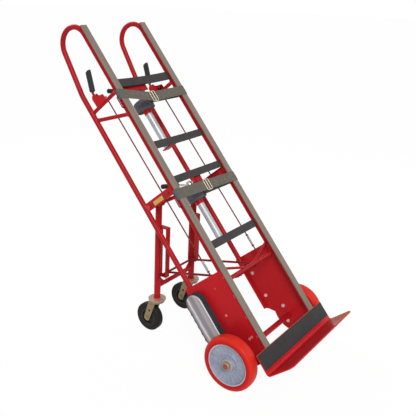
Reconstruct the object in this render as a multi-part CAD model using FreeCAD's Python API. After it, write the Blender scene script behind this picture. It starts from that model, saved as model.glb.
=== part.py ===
import FreeCAD, Part
import math
import os

from FreeCAD import Vector

# Four-wheel appliance hand truck, standing on its main wheels and swivel casters.
# Frame pieces are laid out upright (X across, Y rearward from the rail facing,
# Z up along the rails from the toe plate) and then leaned back about the axle.
# The carriage is laid out level, with Y measured from the axle and Z from the floor.

lean_deg = 39.5
touch = 0.1
near_fit = 0.3
running_fit = 0.05

# main wheels and axle
axle_depth = 145.0
axle_height = 114.0
axle_radius = 9.5
axle_sleeve_radius = 13.0
wheel_radius = 127.0
tyre_width = 63.5
tyre_shoulder = 14.0
wheel_outer_face = 345.0
hub_radius = 98.0
hub_rim = 9.0
hub_rim_width = 56.0
hub_web = 12.0
hub_boss_radius = 24.0
hub_boss_width = 62.0
hub_ring_radius = 46.0
hub_ring_wall = 5.0
hub_ring_width = 34.0
rib_count = 12
rib_thick = 5.0
rib_width = 30.0
cap_radius = 19.0
cap_length = 9.0
cap_round = 5.0
axle_end_gap = 1.0

# rails, facing strips and side tubes
rail_half = 209.5
bar_width = 38.0
strip_thick = 6.0
bar_thick = 6.0
tube_radius = 12.7
tube_wall = 2.5
strip_bottom = 96.0
strip_top = 1780.0
strip_edge = 2.0
bar_bottom = 10.0
rail_lap = 70.0
hoop_radius = 85.0
hoop_rise = 61.0
leg_slant_deg = 10.0
rear_depth = 233.0
rear_bend = 120.0
rear_lap = 51.0

# side struts, level ones on both sides and a slanting one on the left
strut_radius = 9.5
strut_height = 1430.0
brace_rear_drop = 38.0
brace_front_drop = 127.0

# crossbars with padded faces, their heights as shares of the strip's top
bar_height_shares = (0.8112, 0.6213, 0.5163, 0.3230)
bar_talls = (42.0, 36.0, 35.0, 38.0)
bar_bows = (11.0, 7.0, 0.0, 0.0)
pad_front = 15.6
pad_thick = 9.0
core_thick = 6.0
core_inset = 4.0

# plates that carry the carriage shaft
pivot_depth = 205.0
pivot_height = 897.0
pivot_plate_under = 17.0
pivot_plate_over = 23.0
pivot_plate_thick = 4.0
pivot_flange = 10.0
shaft_radius = 9.5
shaft_head = 8.0
shaft_head_radius = 14.0
label_gap = 26.0
label_length = 90.0
label_under = 10.0
label_tall = 20.0
label_thick = 0.6

# side plates over the axle, their corners as shares of reach and top
plate_thick = 5.0
plate_reach = 251.0
plate_top = 481.0
plate_foot_share = 0.0832
plate_shares = ((1, 1), (1, 0.395), (0.948, 0.3825), (0.8406, 0.3264), (0.8486, 0.2578), (0.737, 0.0832))
plate_flange_width = 18.0
plate_flange_share = 0.4
anchor_depth = 100.0
anchor_drop = 19.0
anchor_radius = 6.0
anchor_length = 36.0

# cross member behind the rails, stayed from above, with the hooks that take the brace
member_set = 15.0
member_drop = 54.0
member_radius = 10.0
member_wall = 3.0
stay_rise = 62.0
stay_radius = 6.0
stay_half = 24.0
hook_set = 31.0
hook_drop = 12.0
hook_half = 70.0
hook_thick = 5.0
hook_wall = 6.0
hook_slack = 2.5
hook_root = 6.0

# nose plate and its rubber face
nose_half = 305.0
nose_thick = 6.0
nose_top = 95.7
toe_reach = 135.0
toe_corner = 25.0
nose_bend = 10.0
rubber_half = 303.0
rubber_drop = 2.4
rubber_tall = 70.7
rubber_thick = 6.4
rubber_round = 2.0

# stair climbers outboard of the side plates
climber_inset = 38.0
climber_drop = 81.0
climber_span = 162.0
belt_radius = 53.0
belt_thick = 8.0
belt_width = 28.0
climber_gap = 4.5
cover_radius = 47.0
cover_thick = 7.0
cover_round = 5.0
cleat_count = 6
cleat_height = 2.0
cleat_length = 12.0
shoe_boss_radius = 15.0

# bolt heads on the side plates, as shares of their reach and top
outer_bolt_shares = ((0.4261, 0.6096), (0.2218, 0.3295), (0.1609, 0.337), (0.3386, 0.8732))
inner_bolt_shares = ((0.8425, 0.7901), (0.8318, 0.5206), (0.5814, 0.3459), (0.6628, 0.1848))
outer_head_radius = 6.5
outer_head_height = 4.0
inner_head_radius = 9.0
inner_head_height = 6.0
pivot_bolt_depth = 60.0
pivot_bolt_rise = 2.0

# belt winding units, upper then lower, placed from the crossbars that carry them
unit_depth = 100.0
unit_plate_drops = (20.0, 25.0)
unit_leg_rises = (26.0, 25.0)
unit_leg_drops = (6.0, 4.0)
unit_foot_lifts = (8.0, 6.0)
unit_foot_rises = (34.0, 29.0)
unit_roll_drops = (89.0, 72.0)
unit_tip_across = -60.0
unit_tip_sets = (110.0, 115.0)
unit_tip_rises = (105.0, 78.0)
unit_bar_reach = 186.0
unit_half = 22.0
unit_tail = 20.0
unit_sheet = 6.0
spool_radius = 7.0
core_radius = 14.0
collar_radius = 20.0
collar_height = 22.0
barrel_radius = 17.5
barrel_bore = 10.0
barrel_dip = 14.0
hub_height = 17.0
handle_hub_radius = 21.0
nut_radius = 11.0
nut_height = 7.0
arm_radius = 5.5
arm_start = 12.0
hand_grip_radius = 12.5
hand_grip_length = 95.0
hand_grip_round = 5.0

# webbing
strap_width = 50.0
strap_thick = 2.5
strap_gap = 0.3
strap_lap = 17.0
strap_lap_rises = (42.0, 20.0)
strap_rises = (-5.0, 9.6)
strap_turn_rises = (12.0, 5.0)
roll_turns = 10
roll_pitch = 3.2
roll_tail_gap = 1.2
strap_end_x = 6.0
buckle_across = (-26.0, -9.0)
buckle_width = 36.0
buckle_tall = 54.0
buckle_wire = 2.0
buckle_bar = 2.3
buckle_round = 6.0
guide_wire = 2.5
guide_reach = 16.0
guide_depth = 22.0
guide_rises = (7.0, -8.0)
guide_margin = 4.0
guide_round = 5.0

# brake levers on the level struts, with their cables
lever_depth = 155.0
lever_rise = 36.0
lever_pin = 4.0
lever_eye = 10.0
lever_thick = 14.0
stem_set = -6.7
stem_rise = 44.0
stem_bend = 20.0
knee_drop = 9.0
lever_stub_radius = 6.5
grip_set = 42.0
grip_rise = 95.2
grip_radius = 13.0
grip_round = 6.0
pull_set = 39.0
pull_drop = 14.0
lever_arm_radius = 4.5
lever_pull_radius = 3.5
cheek_thick = 4.0
cheek_gap = 0.5
cheek_reach = 56.0
cheek_inner_reach = 29.0
cheek_rise = 40.0
cheek_shares = ((0.402, 0.31), (0.348, -1), (-1, -0.875), (-0.93, -0.07), (-0.18, 0.305),
                (-0.01, 0.78), (0.296, 0.59))
cable_inset = 14.5
cable_radius = 3.2
cable_set = 2.0
cable_drop = 6.0
spring_start = 35.0
spring_length = 54.0
spring_radius = 5.0
spring_wire = 1.5
spring_turns = 12
ferrule_radius = 6.5
ferrule_height = 6.0

# carriage, level layout
leg_half = 142.0
leg_radius = 16.0
leg_wall = 2.5
leg_foot_back = 553.8
sleeve_width = 50.0
sleeve_radius = 17.0
slot_near = -2.0
slot_reach = 48.0
slot_side = 5.0
slot_width = 27.0
slot_sheet = 6.0
slot_high = 573.0
slot_low = 311.5
cross_height = 255.6
cross_radius = 11.0
gusset_size = 46.0
gusset_thick = 4.0
link_radius = 5.5
link_end = 168.0
link_ahead = 26.0
link_arm_half = 98.0
link_bend = 22.0

# swivel casters
caster_radius = 73.5
caster_width = 36.0
caster_trail = 47.0
caster_shoulder = 8.0
caster_hub_radius = 44.0
caster_bore = 6.0
caster_hub_width = 40.0
plate_height = 190.5
plate_disc_radius = 44.0
plate_disc_thick = 6.0
race_gap = 0.3
crown_radius = 38.0
crown_thick = 12.0
fork_thick = 4.0
fork_gap = 1.5
fork_end_radius = 17.0
fork_front = 8.0
fork_rear = 34.0
fork_hole = 6.0
fork_hole_share = 0.55
king_radius = 8.0
caster_nut_radius = 10.0
caster_nut_height = 6.0

ex = Vector(1, 0, 0)
ey = Vector(0, 1, 0)
ez = Vector(0, 0, 1)
lean = math.radians(lean_deg)
slant = math.radians(leg_slant_deg)

rail_back = strip_thick + bar_thick
front_depth = rail_back + tube_radius
hoop_depth = front_depth + hoop_radius
hoop_height = strip_top + hoop_rise - hoop_radius - tube_radius
rear_bottom = plate_top - rear_lap
plate_inner = rail_half + tube_radius + near_fit
plate_outer = plate_inner + plate_thick
anchor_height = plate_top - anchor_drop
member_depth = rail_back + member_set
member_height = plate_top - member_drop
hook_depth = member_depth + hook_set
hook_height = member_height - hook_drop
climber_depth = plate_reach - climber_inset
climber_high = plate_top - climber_drop
climber_low = climber_high - climber_span
core_front = pad_front + pad_thick
core_back = core_front + core_thick
roll_inner = core_radius + near_fit
roll_outer = roll_inner + roll_turns * roll_pitch + strap_thick
belt_inner_x = plate_outer + climber_gap
belt_outer_x = belt_inner_x + belt_width
wheel_middle = wheel_outer_face - tyre_width / 2
lever_height = strut_height + lever_rise

bar_heights = [share * strip_top for share in bar_height_shares]
top_bars = (bar_heights[0], bar_heights[2])
foot_bars = (bar_heights[1], bar_heights[3])
unit_plates = [bar - drop for bar, drop in zip(top_bars, unit_plate_drops)]
unit_legs_high = [bar + rise for bar, rise in zip(top_bars, unit_leg_rises)]
unit_legs_low = [plate - drop for plate, drop in zip(unit_plates, unit_leg_drops)]
unit_feet = [bar + lift for bar, lift in zip(foot_bars, unit_foot_lifts)]
unit_feet_high = [bar + rise for bar, rise in zip(foot_bars, unit_foot_rises)]
unit_rolls = [plate - drop for plate, drop in zip(unit_plates, unit_roll_drops)]
unit_tips = [Vector(unit_tip_across, unit_depth + away, plate + rise)
             for away, plate, rise in zip(unit_tip_sets, unit_plates, unit_tip_rises)]


def level(depth, height):
    back = math.cos(lean) * (depth - axle_depth) + math.sin(lean) * (height - axle_height)
    up = math.cos(lean) * (height - axle_height) - math.sin(lean) * (depth - axle_depth)
    return back, wheel_radius + up


# the origin lies on the floor under the middle of the whole truck
reach_front = level(-toe_reach, -nose_thick)[0]
reach_back = level(hoop_depth, hoop_height)[0] + hoop_radius + tube_radius
middle = (reach_front + reach_back) / 2


def lean_back(shape):
    moved = shape.copy()
    moved.rotate(Vector(0, axle_depth, axle_height), ex, -lean_deg)
    moved.translate(Vector(0, -axle_depth - middle, wheel_radius - axle_height))
    return moved


def set_level(shape):
    moved = shape.copy()
    moved.translate(Vector(0, -middle, 0))
    return moved


def flip(shape):
    return shape.mirror(Vector(0, 0, 0), ex)


def block(x0, x1, y0, y1, z0, z1):
    return Part.makeBox(x1 - x0, y1 - y0, z1 - z0, Vector(x0, y0, z0))


def rod(start, end, radius):
    run = end - start
    return Part.makeCylinder(radius, run.Length, start, run)


def across(x0, x1, depth, height, radius):
    return Part.makeCylinder(radius, x1 - x0, Vector(x0, depth, height), ex)


def upright(depth, z0, z1, radius):
    return Part.makeCylinder(radius, z1 - z0, Vector(0, depth, z0), ez)


def slab(outline, x0, x1):
    points = [Vector(x0, depth, height) for depth, height in outline]
    face = Part.Face(Part.makePolygon(points + points[:1]))
    return face.extrude(ex * (x1 - x0))


def hexagon(x0, x1, depth, height, radius):
    turns = [math.radians(60 * n) for n in range(6)]
    ring = [(depth + radius * math.cos(t), height + radius * math.sin(t)) for t in turns]
    return slab(ring, x0, x1)


def obround(x0, x1, radius):
    low = across(x0, x1, climber_depth, climber_low, radius)
    high = across(x0, x1, climber_depth, climber_high, radius)
    mid = block(x0, x1, climber_depth - radius, climber_depth + radius, climber_low, climber_high)
    return low.fuse([high, mid]).removeSplitter()


def arc_edge(start, corner, end):
    mid = (start + end) / 2
    half = (end - start).Length / 2
    rise = (corner - mid).Length
    sag = half * math.tan(math.atan2(rise, half) / 2)
    return Part.Arc(start, mid + (corner - mid) * (sag / rise), end).toShape()


def bent_path(points, radius):
    edges = []
    here = points[0]
    for before, corner, after in zip(points, points[1:], points[2:]):
        into = (corner - before).normalize()
        out = (after - corner).normalize()
        setback = radius * math.tan(into.getAngle(out) / 2)
        start = corner - into * setback
        end = corner + out * setback
        edges.append(Part.makeLine(here, start))
        edges.append(arc_edge(start, corner, end))
        here = end
    edges.append(Part.makeLine(here, points[-1]))
    return Part.Wire(edges)


def sweep(path, radius):
    first = path.OrderedEdges[0]
    start = first.valueAt(first.FirstParameter)
    circle = Part.makeCircle(radius, start, first.tangentAt(first.FirstParameter))
    return path.makePipeShell([Part.Wire([circle])], True, False)


def rounded(shape, radius, axis):
    edges = []
    for edge in shape.Edges:
        if edge.Curve.TypeId == "Part::GeomLine":
            if abs(edge.tangentAt(edge.FirstParameter) * axis) > touch:
                edges.append(edge)
    return shape.makeFillet(radius, edges)


def rim_rounded(shape, radius, x):
    edges = []
    for edge in shape.Edges:
        if max(abs(edge.BoundBox.XMin - x), abs(edge.BoundBox.XMax - x)) < touch:
            edges.append(edge)
    return shape.makeFillet(radius, edges)


# rail tubes, and handle tubes that carry on into the hoop and the rear leg
hoop_end = Vector(-rail_half, hoop_depth + hoop_radius * math.cos(slant),
                  hoop_height + hoop_radius * math.sin(slant))
bend_height = hoop_end.z - (rear_depth - hoop_end.y) / math.tan(slant)
tube_bore = tube_radius - tube_wall
rail_foot = Vector(-rail_half, front_depth, plate_top - rail_lap)
shoulder = Vector(-rail_half, front_depth, hoop_height)


def handle_path():
    turn = (math.pi - slant) / 2
    crown = Vector(-rail_half, hoop_depth - hoop_radius * math.cos(turn),
                   hoop_height + hoop_radius * math.sin(turn))
    rear = bent_path([hoop_end, Vector(-rail_half, rear_depth, bend_height),
                      Vector(-rail_half, rear_depth, rear_bottom)], rear_bend)
    return Part.Wire([Part.Arc(shoulder, crown, hoop_end).toShape()] + rear.OrderedEdges)


handle_run = handle_path()
handle_solid = sweep(handle_run, tube_radius)
handle_tube = handle_solid.cut(sweep(handle_run, tube_bore))
rail_solid = rod(rail_foot, shoulder, tube_radius)
rail_tube = rail_solid.cut(rod(rail_foot, shoulder, tube_bore))
tube_solid = rail_solid.fuse(handle_solid)
both_tubes = tube_solid.fuse(flip(tube_solid))

bar_half = bar_width / 2
rail_inner = rail_half - bar_half
rail_outer = rail_half + bar_half
rail_bar = block(-rail_outer, -rail_inner, strip_thick, rail_back, bar_bottom, strip_top)
strip_blank = block(-rail_outer, -rail_inner, 0, strip_thick, strip_bottom, strip_top)
rail_strip = rounded(strip_blank, strip_edge, ez)


def side_strut(front_height, rear_height):
    return rod(Vector(-rail_half, front_depth, front_height),
               Vector(-rail_half, rear_depth, rear_height), strut_radius)


strut = side_strut(strut_height, strut_height)
slant_brace = side_strut(strut_height - brace_front_drop, strut_height - brace_rear_drop)


# crossbars: steel core between the rail tubes with a padded face
def bowed_bar(low, tall, bow, front, thick):
    reach = rail_half
    if bow == 0:
        return block(-reach, reach, front, front + thick, low, low + tall)
    front_arc = Part.Arc(Vector(-reach, front, low), Vector(0, front + bow, low), Vector(reach, front, low))
    back_arc = Part.Arc(Vector(reach, front + thick, low), Vector(0, front + thick + bow, low),
                        Vector(-reach, front + thick, low))
    ends = [Part.makeLine(Vector(reach, front, low), Vector(reach, front + thick, low)),
            Part.makeLine(Vector(-reach, front + thick, low), Vector(-reach, front, low))]
    edges = [front_arc.toShape(), ends[0], back_arc.toShape(), ends[1]]
    return Part.Face(Part.Wire(edges)).extrude(ez * tall)


rails_block = both_tubes.fuse([rail_bar, flip(rail_bar)])
cores = []
pads = []
for low, tall, bow in zip(bar_heights, bar_talls, bar_bows):
    pads.append(bowed_bar(low, tall, bow, pad_front, pad_thick).cut(rails_block))
    core = bowed_bar(low + core_inset, tall - 2 * core_inset, bow, core_front, core_thick)
    cores.append(core.cut(rails_block))


# pivot plates: a web between the tubes, folded in at the top
def pivot_plate():
    low = pivot_height - pivot_plate_under
    high = pivot_height + pivot_plate_over
    web = block(-rail_half - pivot_plate_thick, -rail_half, front_depth, rear_depth, low, high)
    fold = block(-rail_half, -rail_half + pivot_flange, front_depth, rear_depth,
                 high - pivot_plate_thick, high)
    hole = across(-rail_half - pivot_flange, 0, pivot_depth, pivot_height, shaft_radius + running_fit)
    return web.fuse(fold).removeSplitter().cut(tube_solid).cut(hole)


plate_face = rail_half + pivot_plate_thick
carriage_shaft = across(-plate_face, plate_face, pivot_depth, pivot_height, shaft_radius)
shaft_end = hexagon(-plate_face - shaft_head, -plate_face - touch, pivot_depth, pivot_height,
                    shaft_head_radius)
label_end = pivot_depth - label_gap
label_low = pivot_height - label_under
label_plate = block(-plate_face - label_thick, -plate_face, label_end - label_length, label_end,
                    label_low, label_low + label_tall)


# side plates: flat sheet with a folded rear edge and a stud for the cable
def side_plate():
    front = [(rail_back, plate_foot_share * plate_top), (rail_back, plate_top)]
    corners = [(deep * plate_reach, tall * plate_top) for deep, tall in plate_shares]
    sheet = slab(front + corners, -plate_outer, -plate_inner)
    fold = block(-plate_inner, -plate_inner + plate_flange_width, plate_reach - plate_thick, plate_reach,
                 plate_flange_share * plate_top, plate_top)
    stud = across(-plate_inner, -plate_inner + anchor_length, anchor_depth, anchor_height, anchor_radius)
    hole = across(-plate_outer, -plate_inner, axle_depth, axle_height, axle_radius + touch)
    return sheet.fuse([fold, stud]).removeSplitter().cut(hole)


# cross member: tube between the rail tubes, two slanting stays and two hooks open downwards
def cross_member():
    tube = across(-rail_half, rail_half, member_depth, member_height, member_radius)
    inside = across(-rail_half, rail_half, member_depth, member_height, member_radius - member_wall)
    stay = rod(Vector(-rail_half, front_depth, member_height + stay_rise),
               Vector(-stay_half, member_depth, member_height), stay_radius)
    cup = link_radius + near_fit
    shell = cup + hook_wall
    mouth = link_radius + hook_slack
    outline = ((member_depth, member_height + hook_root), (hook_depth, hook_height + shell),
               (hook_depth - shell, hook_height), (member_depth, member_height - hook_root))
    hooks = []
    for x in (-hook_half, hook_half - hook_thick):
        end = x + hook_thick
        eye = across(x, end, hook_depth, hook_height, shell).fuse(slab(outline, x, end))
        gap = block(x, end, hook_depth - mouth, hook_depth + mouth, hook_height - shell, hook_height)
        hooks.append(eye.cut(across(x, end, hook_depth, hook_height, cup)).cut(gap))
    whole = tube.fuse([stay, flip(stay)] + hooks).removeSplitter()
    return whole.cut(inside).cut(both_tubes)


def cross_edges(shape, depth, height):
    edges = []
    for edge in shape.Edges:
        box = edge.BoundBox
        if max(abs(box.YMin - depth), abs(box.YMax - depth)) < touch:
            if max(abs(box.ZMin - height), abs(box.ZMax - height)) < touch:
                edges.append(edge)
    return edges


# nose: back plate and toe plate in one bent sheet
def nose_plate():
    back = block(-nose_half, nose_half, 0, nose_thick, -nose_thick, nose_top)
    toe = block(-nose_half, nose_half, -toe_reach, 0, -nose_thick, 0)
    corners = []
    for edge in toe.Edges:
        if edge.BoundBox.ZLength > touch and edge.BoundBox.YMax < -touch:
            corners.append(edge)
    sheet = back.fuse(toe.makeFillet(toe_corner, corners)).removeSplitter()
    sheet = sheet.makeFillet(nose_bend, cross_edges(sheet, 0, 0))
    return sheet.makeFillet(nose_bend + nose_thick, cross_edges(sheet, nose_thick, -nose_thick))


rubber_high = nose_top - rubber_drop
rubber_blank = block(-rubber_half, rubber_half, -rubber_thick, 0, rubber_high - rubber_tall, rubber_high)
nose_rubber = rounded(rubber_blank, rubber_round, ex)


# stair climber: fixed shoe, cleated belt and outer cover
def climber_belt():
    band = obround(-belt_outer_x, -belt_inner_x, belt_radius - cleat_height)
    band = band.cut(obround(-belt_outer_x, -belt_inner_x, belt_radius - belt_thick))
    cleats = []
    span = climber_high - climber_low
    for n in range(cleat_count):
        z = climber_low + span * n / (cleat_count - 1) - cleat_length / 2
        for y in (climber_depth - belt_radius, climber_depth + belt_radius - 2 * cleat_height):
            cleats.append(block(-belt_outer_x, -belt_inner_x, y, y + 2 * cleat_height, z, z + cleat_length))
    return band.fuse(cleats).removeSplitter()


def climber_shoe():
    shoe = obround(-belt_outer_x, -belt_inner_x, belt_radius - belt_thick - near_fit)
    bosses = []
    for z in (climber_low, climber_high):
        bosses.append(across(-belt_inner_x, -plate_outer, climber_depth, z, shoe_boss_radius))
    return shoe.fuse(bosses).removeSplitter()


cover_face = belt_outer_x + cover_thick
cover_blank = obround(-cover_face, -belt_outer_x - near_fit, cover_radius)
climber_cover = rim_rounded(cover_blank, cover_round, -cover_face)


# main wheel, centred on the origin and turned about X
def turned(profile):
    points = [Vector(x, 0, r) for x, r in profile]
    face = Part.Face(Part.makePolygon(points + points[:1]))
    return face.revolve(Vector(0, 0, 0), ex, 360)


def main_tyre():
    half = tyre_width / 2
    body = turned(((-half, hub_radius), (half, hub_radius), (half, wheel_radius), (-half, wheel_radius)))
    edges = []
    for edge in body.Edges:
        if edge.Curve.TypeId == "Part::GeomCircle" and edge.Curve.Radius > hub_radius + touch:
            edges.append(edge)
    return body.makeFillet(tyre_shoulder, edges)


def ring(outer, inner, width):
    half = width / 2
    return turned(((-half, inner), (half, inner), (half, outer), (-half, outer)))


def main_hub():
    bore = axle_radius + running_fit
    hub = ring(hub_radius, hub_radius - hub_rim, hub_rim_width)
    web = ring(hub_radius - hub_rim / 2, bore, hub_web)
    boss = ring(hub_boss_radius, bore, hub_boss_width)
    band = ring(hub_ring_radius, hub_ring_radius - hub_ring_wall, hub_ring_width)
    ribs = []
    for n in range(rib_count):
        rib = block(-rib_width / 2, rib_width / 2, -rib_thick / 2, rib_thick / 2,
                    hub_boss_radius - hub_rim / 2, hub_radius - hub_rim / 2)
        rib.rotate(Vector(0, 0, 0), ex, 360 * n / rib_count)
        ribs.append(rib)
    return hub.fuse([web, boss, band] + ribs).removeSplitter()


def on_axle(shape, side):
    moved = shape.copy()
    moved.translate(Vector(side * wheel_middle, axle_depth, axle_height))
    return moved


axle_end = wheel_outer_face + axle_end_gap
axle = across(-axle_end, axle_end, axle_depth, axle_height, axle_radius)
axle_sleeve = across(-plate_inner, plate_inner, axle_depth, axle_height, axle_sleeve_radius).cut(axle)
axle_cap = rim_rounded(across(-axle_end - cap_length, -axle_end, axle_depth, axle_height, cap_radius),
                       cap_round, -axle_end - cap_length)


# bolt heads, shaft nuts and axle caps
def fasteners():
    heads = [axle_cap, shaft_end]
    for deep, tall in outer_bolt_shares:
        head = across(-plate_outer - outer_head_height, -plate_outer, deep * plate_reach, tall * plate_top,
                      outer_head_radius)
        heads.append(rim_rounded(head, outer_head_height / 2, -plate_outer - outer_head_height))
    for deep, tall in inner_bolt_shares:
        heads.append(hexagon(-plate_inner, -plate_inner + inner_head_height, deep * plate_reach,
                             tall * plate_top, inner_head_radius))
    heads.append(across(-plate_face - outer_head_height, -plate_face, pivot_bolt_depth,
                        pivot_height + pivot_bolt_rise, outer_head_radius))
    return heads + [flip(head) for head in heads]


# belt winding units
def unit_bracket(n):
    front = core_back + bar_bows[2 * n]
    plate = block(-unit_half, unit_half, front, unit_depth + unit_tail, unit_plates[n],
                  unit_plates[n] + unit_sheet)
    legs = [block(-unit_half, unit_half, front, front + unit_sheet, unit_legs_low[n], unit_legs_high[n])]
    if n == 0:
        bar = block(-unit_bar_reach, unit_half, front, front + unit_sheet, unit_plates[n],
                    unit_legs_high[n])
        legs.append(bar)
    hole = upright(unit_depth, unit_plates[n] - unit_tail, unit_plates[n] + unit_tail,
                   spool_radius + running_fit)
    return plate.fuse(legs).removeSplitter().cut(hole)


def unit_foot(n):
    front = core_back + bar_bows[2 * n + 1]
    plate = block(-unit_half, unit_half, front, unit_depth + unit_tail, unit_feet[n],
                  unit_feet[n] + unit_sheet)
    leg = block(-unit_half, unit_half, front, front + unit_sheet, unit_feet[n], unit_feet_high[n])
    return plate.fuse(leg).removeSplitter()


def unit_collar(n):
    high = unit_rolls[n] - near_fit
    body = upright(unit_depth, high - collar_height, high, collar_radius)
    return body.cut(upright(unit_depth, high - collar_height, high, spool_radius + running_fit))


def unit_barrel(n):
    top = unit_rolls[n] - near_fit - collar_height
    body = upright(unit_depth, unit_feet[n] + unit_sheet, top, barrel_radius)
    return body.cut(upright(unit_depth, top - 2 * barrel_dip, top, barrel_bore))


def unit_spool(n):
    hub_top = unit_plates[n] + unit_sheet + touch + hub_height + touch
    foot = unit_rolls[n] - collar_height - barrel_dip
    shaft = upright(unit_depth, foot, hub_top + nut_height, spool_radius)
    core = upright(unit_depth, unit_rolls[n], unit_rolls[n] + strap_width, core_radius)
    nut = upright(unit_depth, hub_top, hub_top + nut_height, nut_radius)
    return shaft.fuse([core, nut]).removeSplitter()


def webbing_roll(n):
    quarter = roll_pitch / 4
    inner = []
    outer = []
    for k in range(2 * roll_turns):
        way = 1 - 2 * (k % 2)
        middle_x = -quarter * way
        radius = roll_inner + quarter + 2 * quarter * k
        for edges, r in ((inner, radius), (outer, radius + strap_thick)):
            points = [Vector(middle_x + way * r, unit_depth, unit_rolls[n]),
                      Vector(middle_x, unit_depth + way * r, unit_rolls[n]),
                      Vector(middle_x - way * r, unit_depth, unit_rolls[n])]
            edges.append(Part.Arc(*points).toShape())
    caps = []
    for end in (0, -1):
        vertex = 0 if end == 0 else 1
        ends = []
        for edges in (inner, outer):
            edge = edges[end]
            ends.append(edge.valueAt(edge.FirstParameter if vertex == 0 else edge.LastParameter))
        caps.append(Part.makeLine(ends[0], ends[1]))
    wire = Part.Wire(Part.__sortEdges__(inner + outer + caps))
    return Part.Face(wire).extrude(ez * strap_width)


def handle_line(n):
    base = unit_plates[n] + unit_sheet + touch
    start = Vector(0, unit_depth, base + hub_height / 2)
    return base, start, unit_tips[n]


def ratchet_handle(n):
    base, start, end = handle_line(n)
    hub = upright(unit_depth, base, base + hub_height, handle_hub_radius)
    way = (end - start).normalize()
    arm = rod(start + way * arm_start, end - way * hand_grip_round, arm_radius)
    room = upright(unit_depth, base + hub_height, base + hub_height + hub_height, handle_hub_radius)
    bore = upright(unit_depth, base, base + hub_height, spool_radius + running_fit)
    return hub.fuse(arm.cut(room)).removeSplitter().cut(bore)


def ratchet_grip(n):
    base, start, end = handle_line(n)
    way = (end - start).normalize()
    body = rod(end - way * hand_grip_length, end, hand_grip_radius)
    body = body.makeFillet(hand_grip_round, [e for e in body.Edges if e.Curve.TypeId == "Part::GeomCircle"])
    return body.cut(rod(start, end - way * hand_grip_round, arm_radius))


# straps: lapped over the left rail, across the front, then back and in to the roll
def strap(n):
    side = rail_outer + strap_gap
    outer = side + strap_thick
    front = -strap_gap - strap_thick
    low = unit_rolls[n]
    lap_low = low + strap_lap_rises[n]
    near_roll = unit_depth - roll_outer - roll_tail_gap
    feet = [(-outer, lap_low), (buckle_across[n], low + strap_rises[n]), (outer, low)]
    heads = [(x, z + strap_width) for x, z in reversed(feet)]
    corners = [Vector(x, front, z) for x, z in feet + heads]
    band = Part.Face(Part.makePolygon(corners + corners[:1])).extrude(ey * strap_thick)
    lap = block(-outer, -side, front, strap_lap, lap_low, lap_low + strap_width)
    turn_low = low + strap_turn_rises[n]
    turn_high = turn_low + strap_width
    run = block(side, outer, front, near_roll, turn_low, turn_high)
    tail = block(strap_end_x, outer, near_roll - strap_thick, near_roll, turn_low, turn_high)
    return band.fuse([lap, run, tail]).removeSplitter()


def buckle(n):
    here = buckle_across[n]
    low = unit_rolls[n] + strap_rises[n] + (strap_width - buckle_tall) / 2
    high = low + buckle_tall
    depth = -2 * strap_gap - strap_thick - buckle_wire
    bar = rod(Vector(here, depth, low), Vector(here, depth, high), buckle_bar)
    bows = []
    for end in (here - buckle_width / 2, here + buckle_width / 2):
        points = [Vector(here, depth, low), Vector(end, depth, low), Vector(end, depth, high),
                  Vector(here, depth, high)]
        bows.append(sweep(bent_path(points, buckle_round), buckle_wire))
    return bar.fuse(bows).removeSplitter()


def wire_guide(n):
    low = unit_rolls[n] + guide_rises[n] - guide_margin
    high = unit_rolls[n] + guide_rises[n] + strap_width + guide_margin
    out = rail_outer + guide_reach / 2
    points = [Vector(-rail_half, guide_depth, low), Vector(-out, guide_depth, low),
              Vector(-out, guide_depth, high), Vector(-rail_half, guide_depth, high)]
    return sweep(bent_path(points, guide_round), guide_wire).cut(rail_solid)


# brake levers: bracket on the level strut, lever, grip and cable
lever_pivot = Vector(-rail_half, lever_depth, lever_height)
grip_start = lever_pivot + Vector(0, -stem_set, stem_rise)
grip_end = grip_start + Vector(0, -grip_set, grip_rise)
pull_end = lever_pivot + Vector(0, -pull_set, -pull_drop)
cable_x = -rail_half + cable_inset
cable_top = Vector(cable_x, pull_end.y - cable_set, pull_end.z - cable_drop)
cable_foot = Vector(cable_x, anchor_depth, anchor_height + anchor_radius)
spring_low = cable_foot.z + spring_start
spring_high = spring_low + spring_length


def lever_bracket():
    inner = lever_thick / 2 + cheek_gap
    outer = inner + cheek_thick
    outline = []
    for deep, tall in cheek_shares:
        outline.append((lever_depth + deep * cheek_reach, lever_height + tall * cheek_rise))
    front = block(-rail_half, 0, lever_depth - cheek_reach, lever_depth - cheek_inner_reach,
                  lever_height - cheek_rise, lever_height + cheek_rise)
    cheeks = [slab(outline, -rail_half - outer, -rail_half - inner),
              slab(outline, -rail_half + inner, -rail_half + outer).cut(front)]
    pin = across(-rail_half - outer, -rail_half + outer, lever_depth, lever_height, lever_pin)
    return pin.fuse(cheeks).removeSplitter().cut(strut)


def lever():
    half = lever_thick / 2
    eye = across(-rail_half - half, -rail_half + half, lever_depth, lever_height, lever_eye)
    way = (grip_end - grip_start).normalize()
    knee = grip_start - way * knee_drop
    stem = sweep(bent_path([lever_pivot, knee, grip_end - way * grip_round], stem_bend),
                 lever_stub_radius)
    arm = rod(lever_pivot, pull_end, lever_arm_radius)
    pull = across(-rail_half, cable_x + cable_radius, pull_end.y, pull_end.z, lever_pull_radius)
    bore = across(-rail_half - half, -rail_half + half, lever_depth, lever_height, lever_pin + running_fit)
    return eye.fuse([stem, arm, pull]).removeSplitter().cut(bore)


def lever_grip():
    way = (grip_end - grip_start).normalize()
    body = rod(grip_start, grip_end, grip_radius)
    body = body.makeFillet(grip_round, [e for e in body.Edges if e.Curve.TypeId == "Part::GeomCircle"])
    return body.cut(rod(grip_start - way * grip_round, grip_end - way * grip_round, lever_stub_radius))


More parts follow.
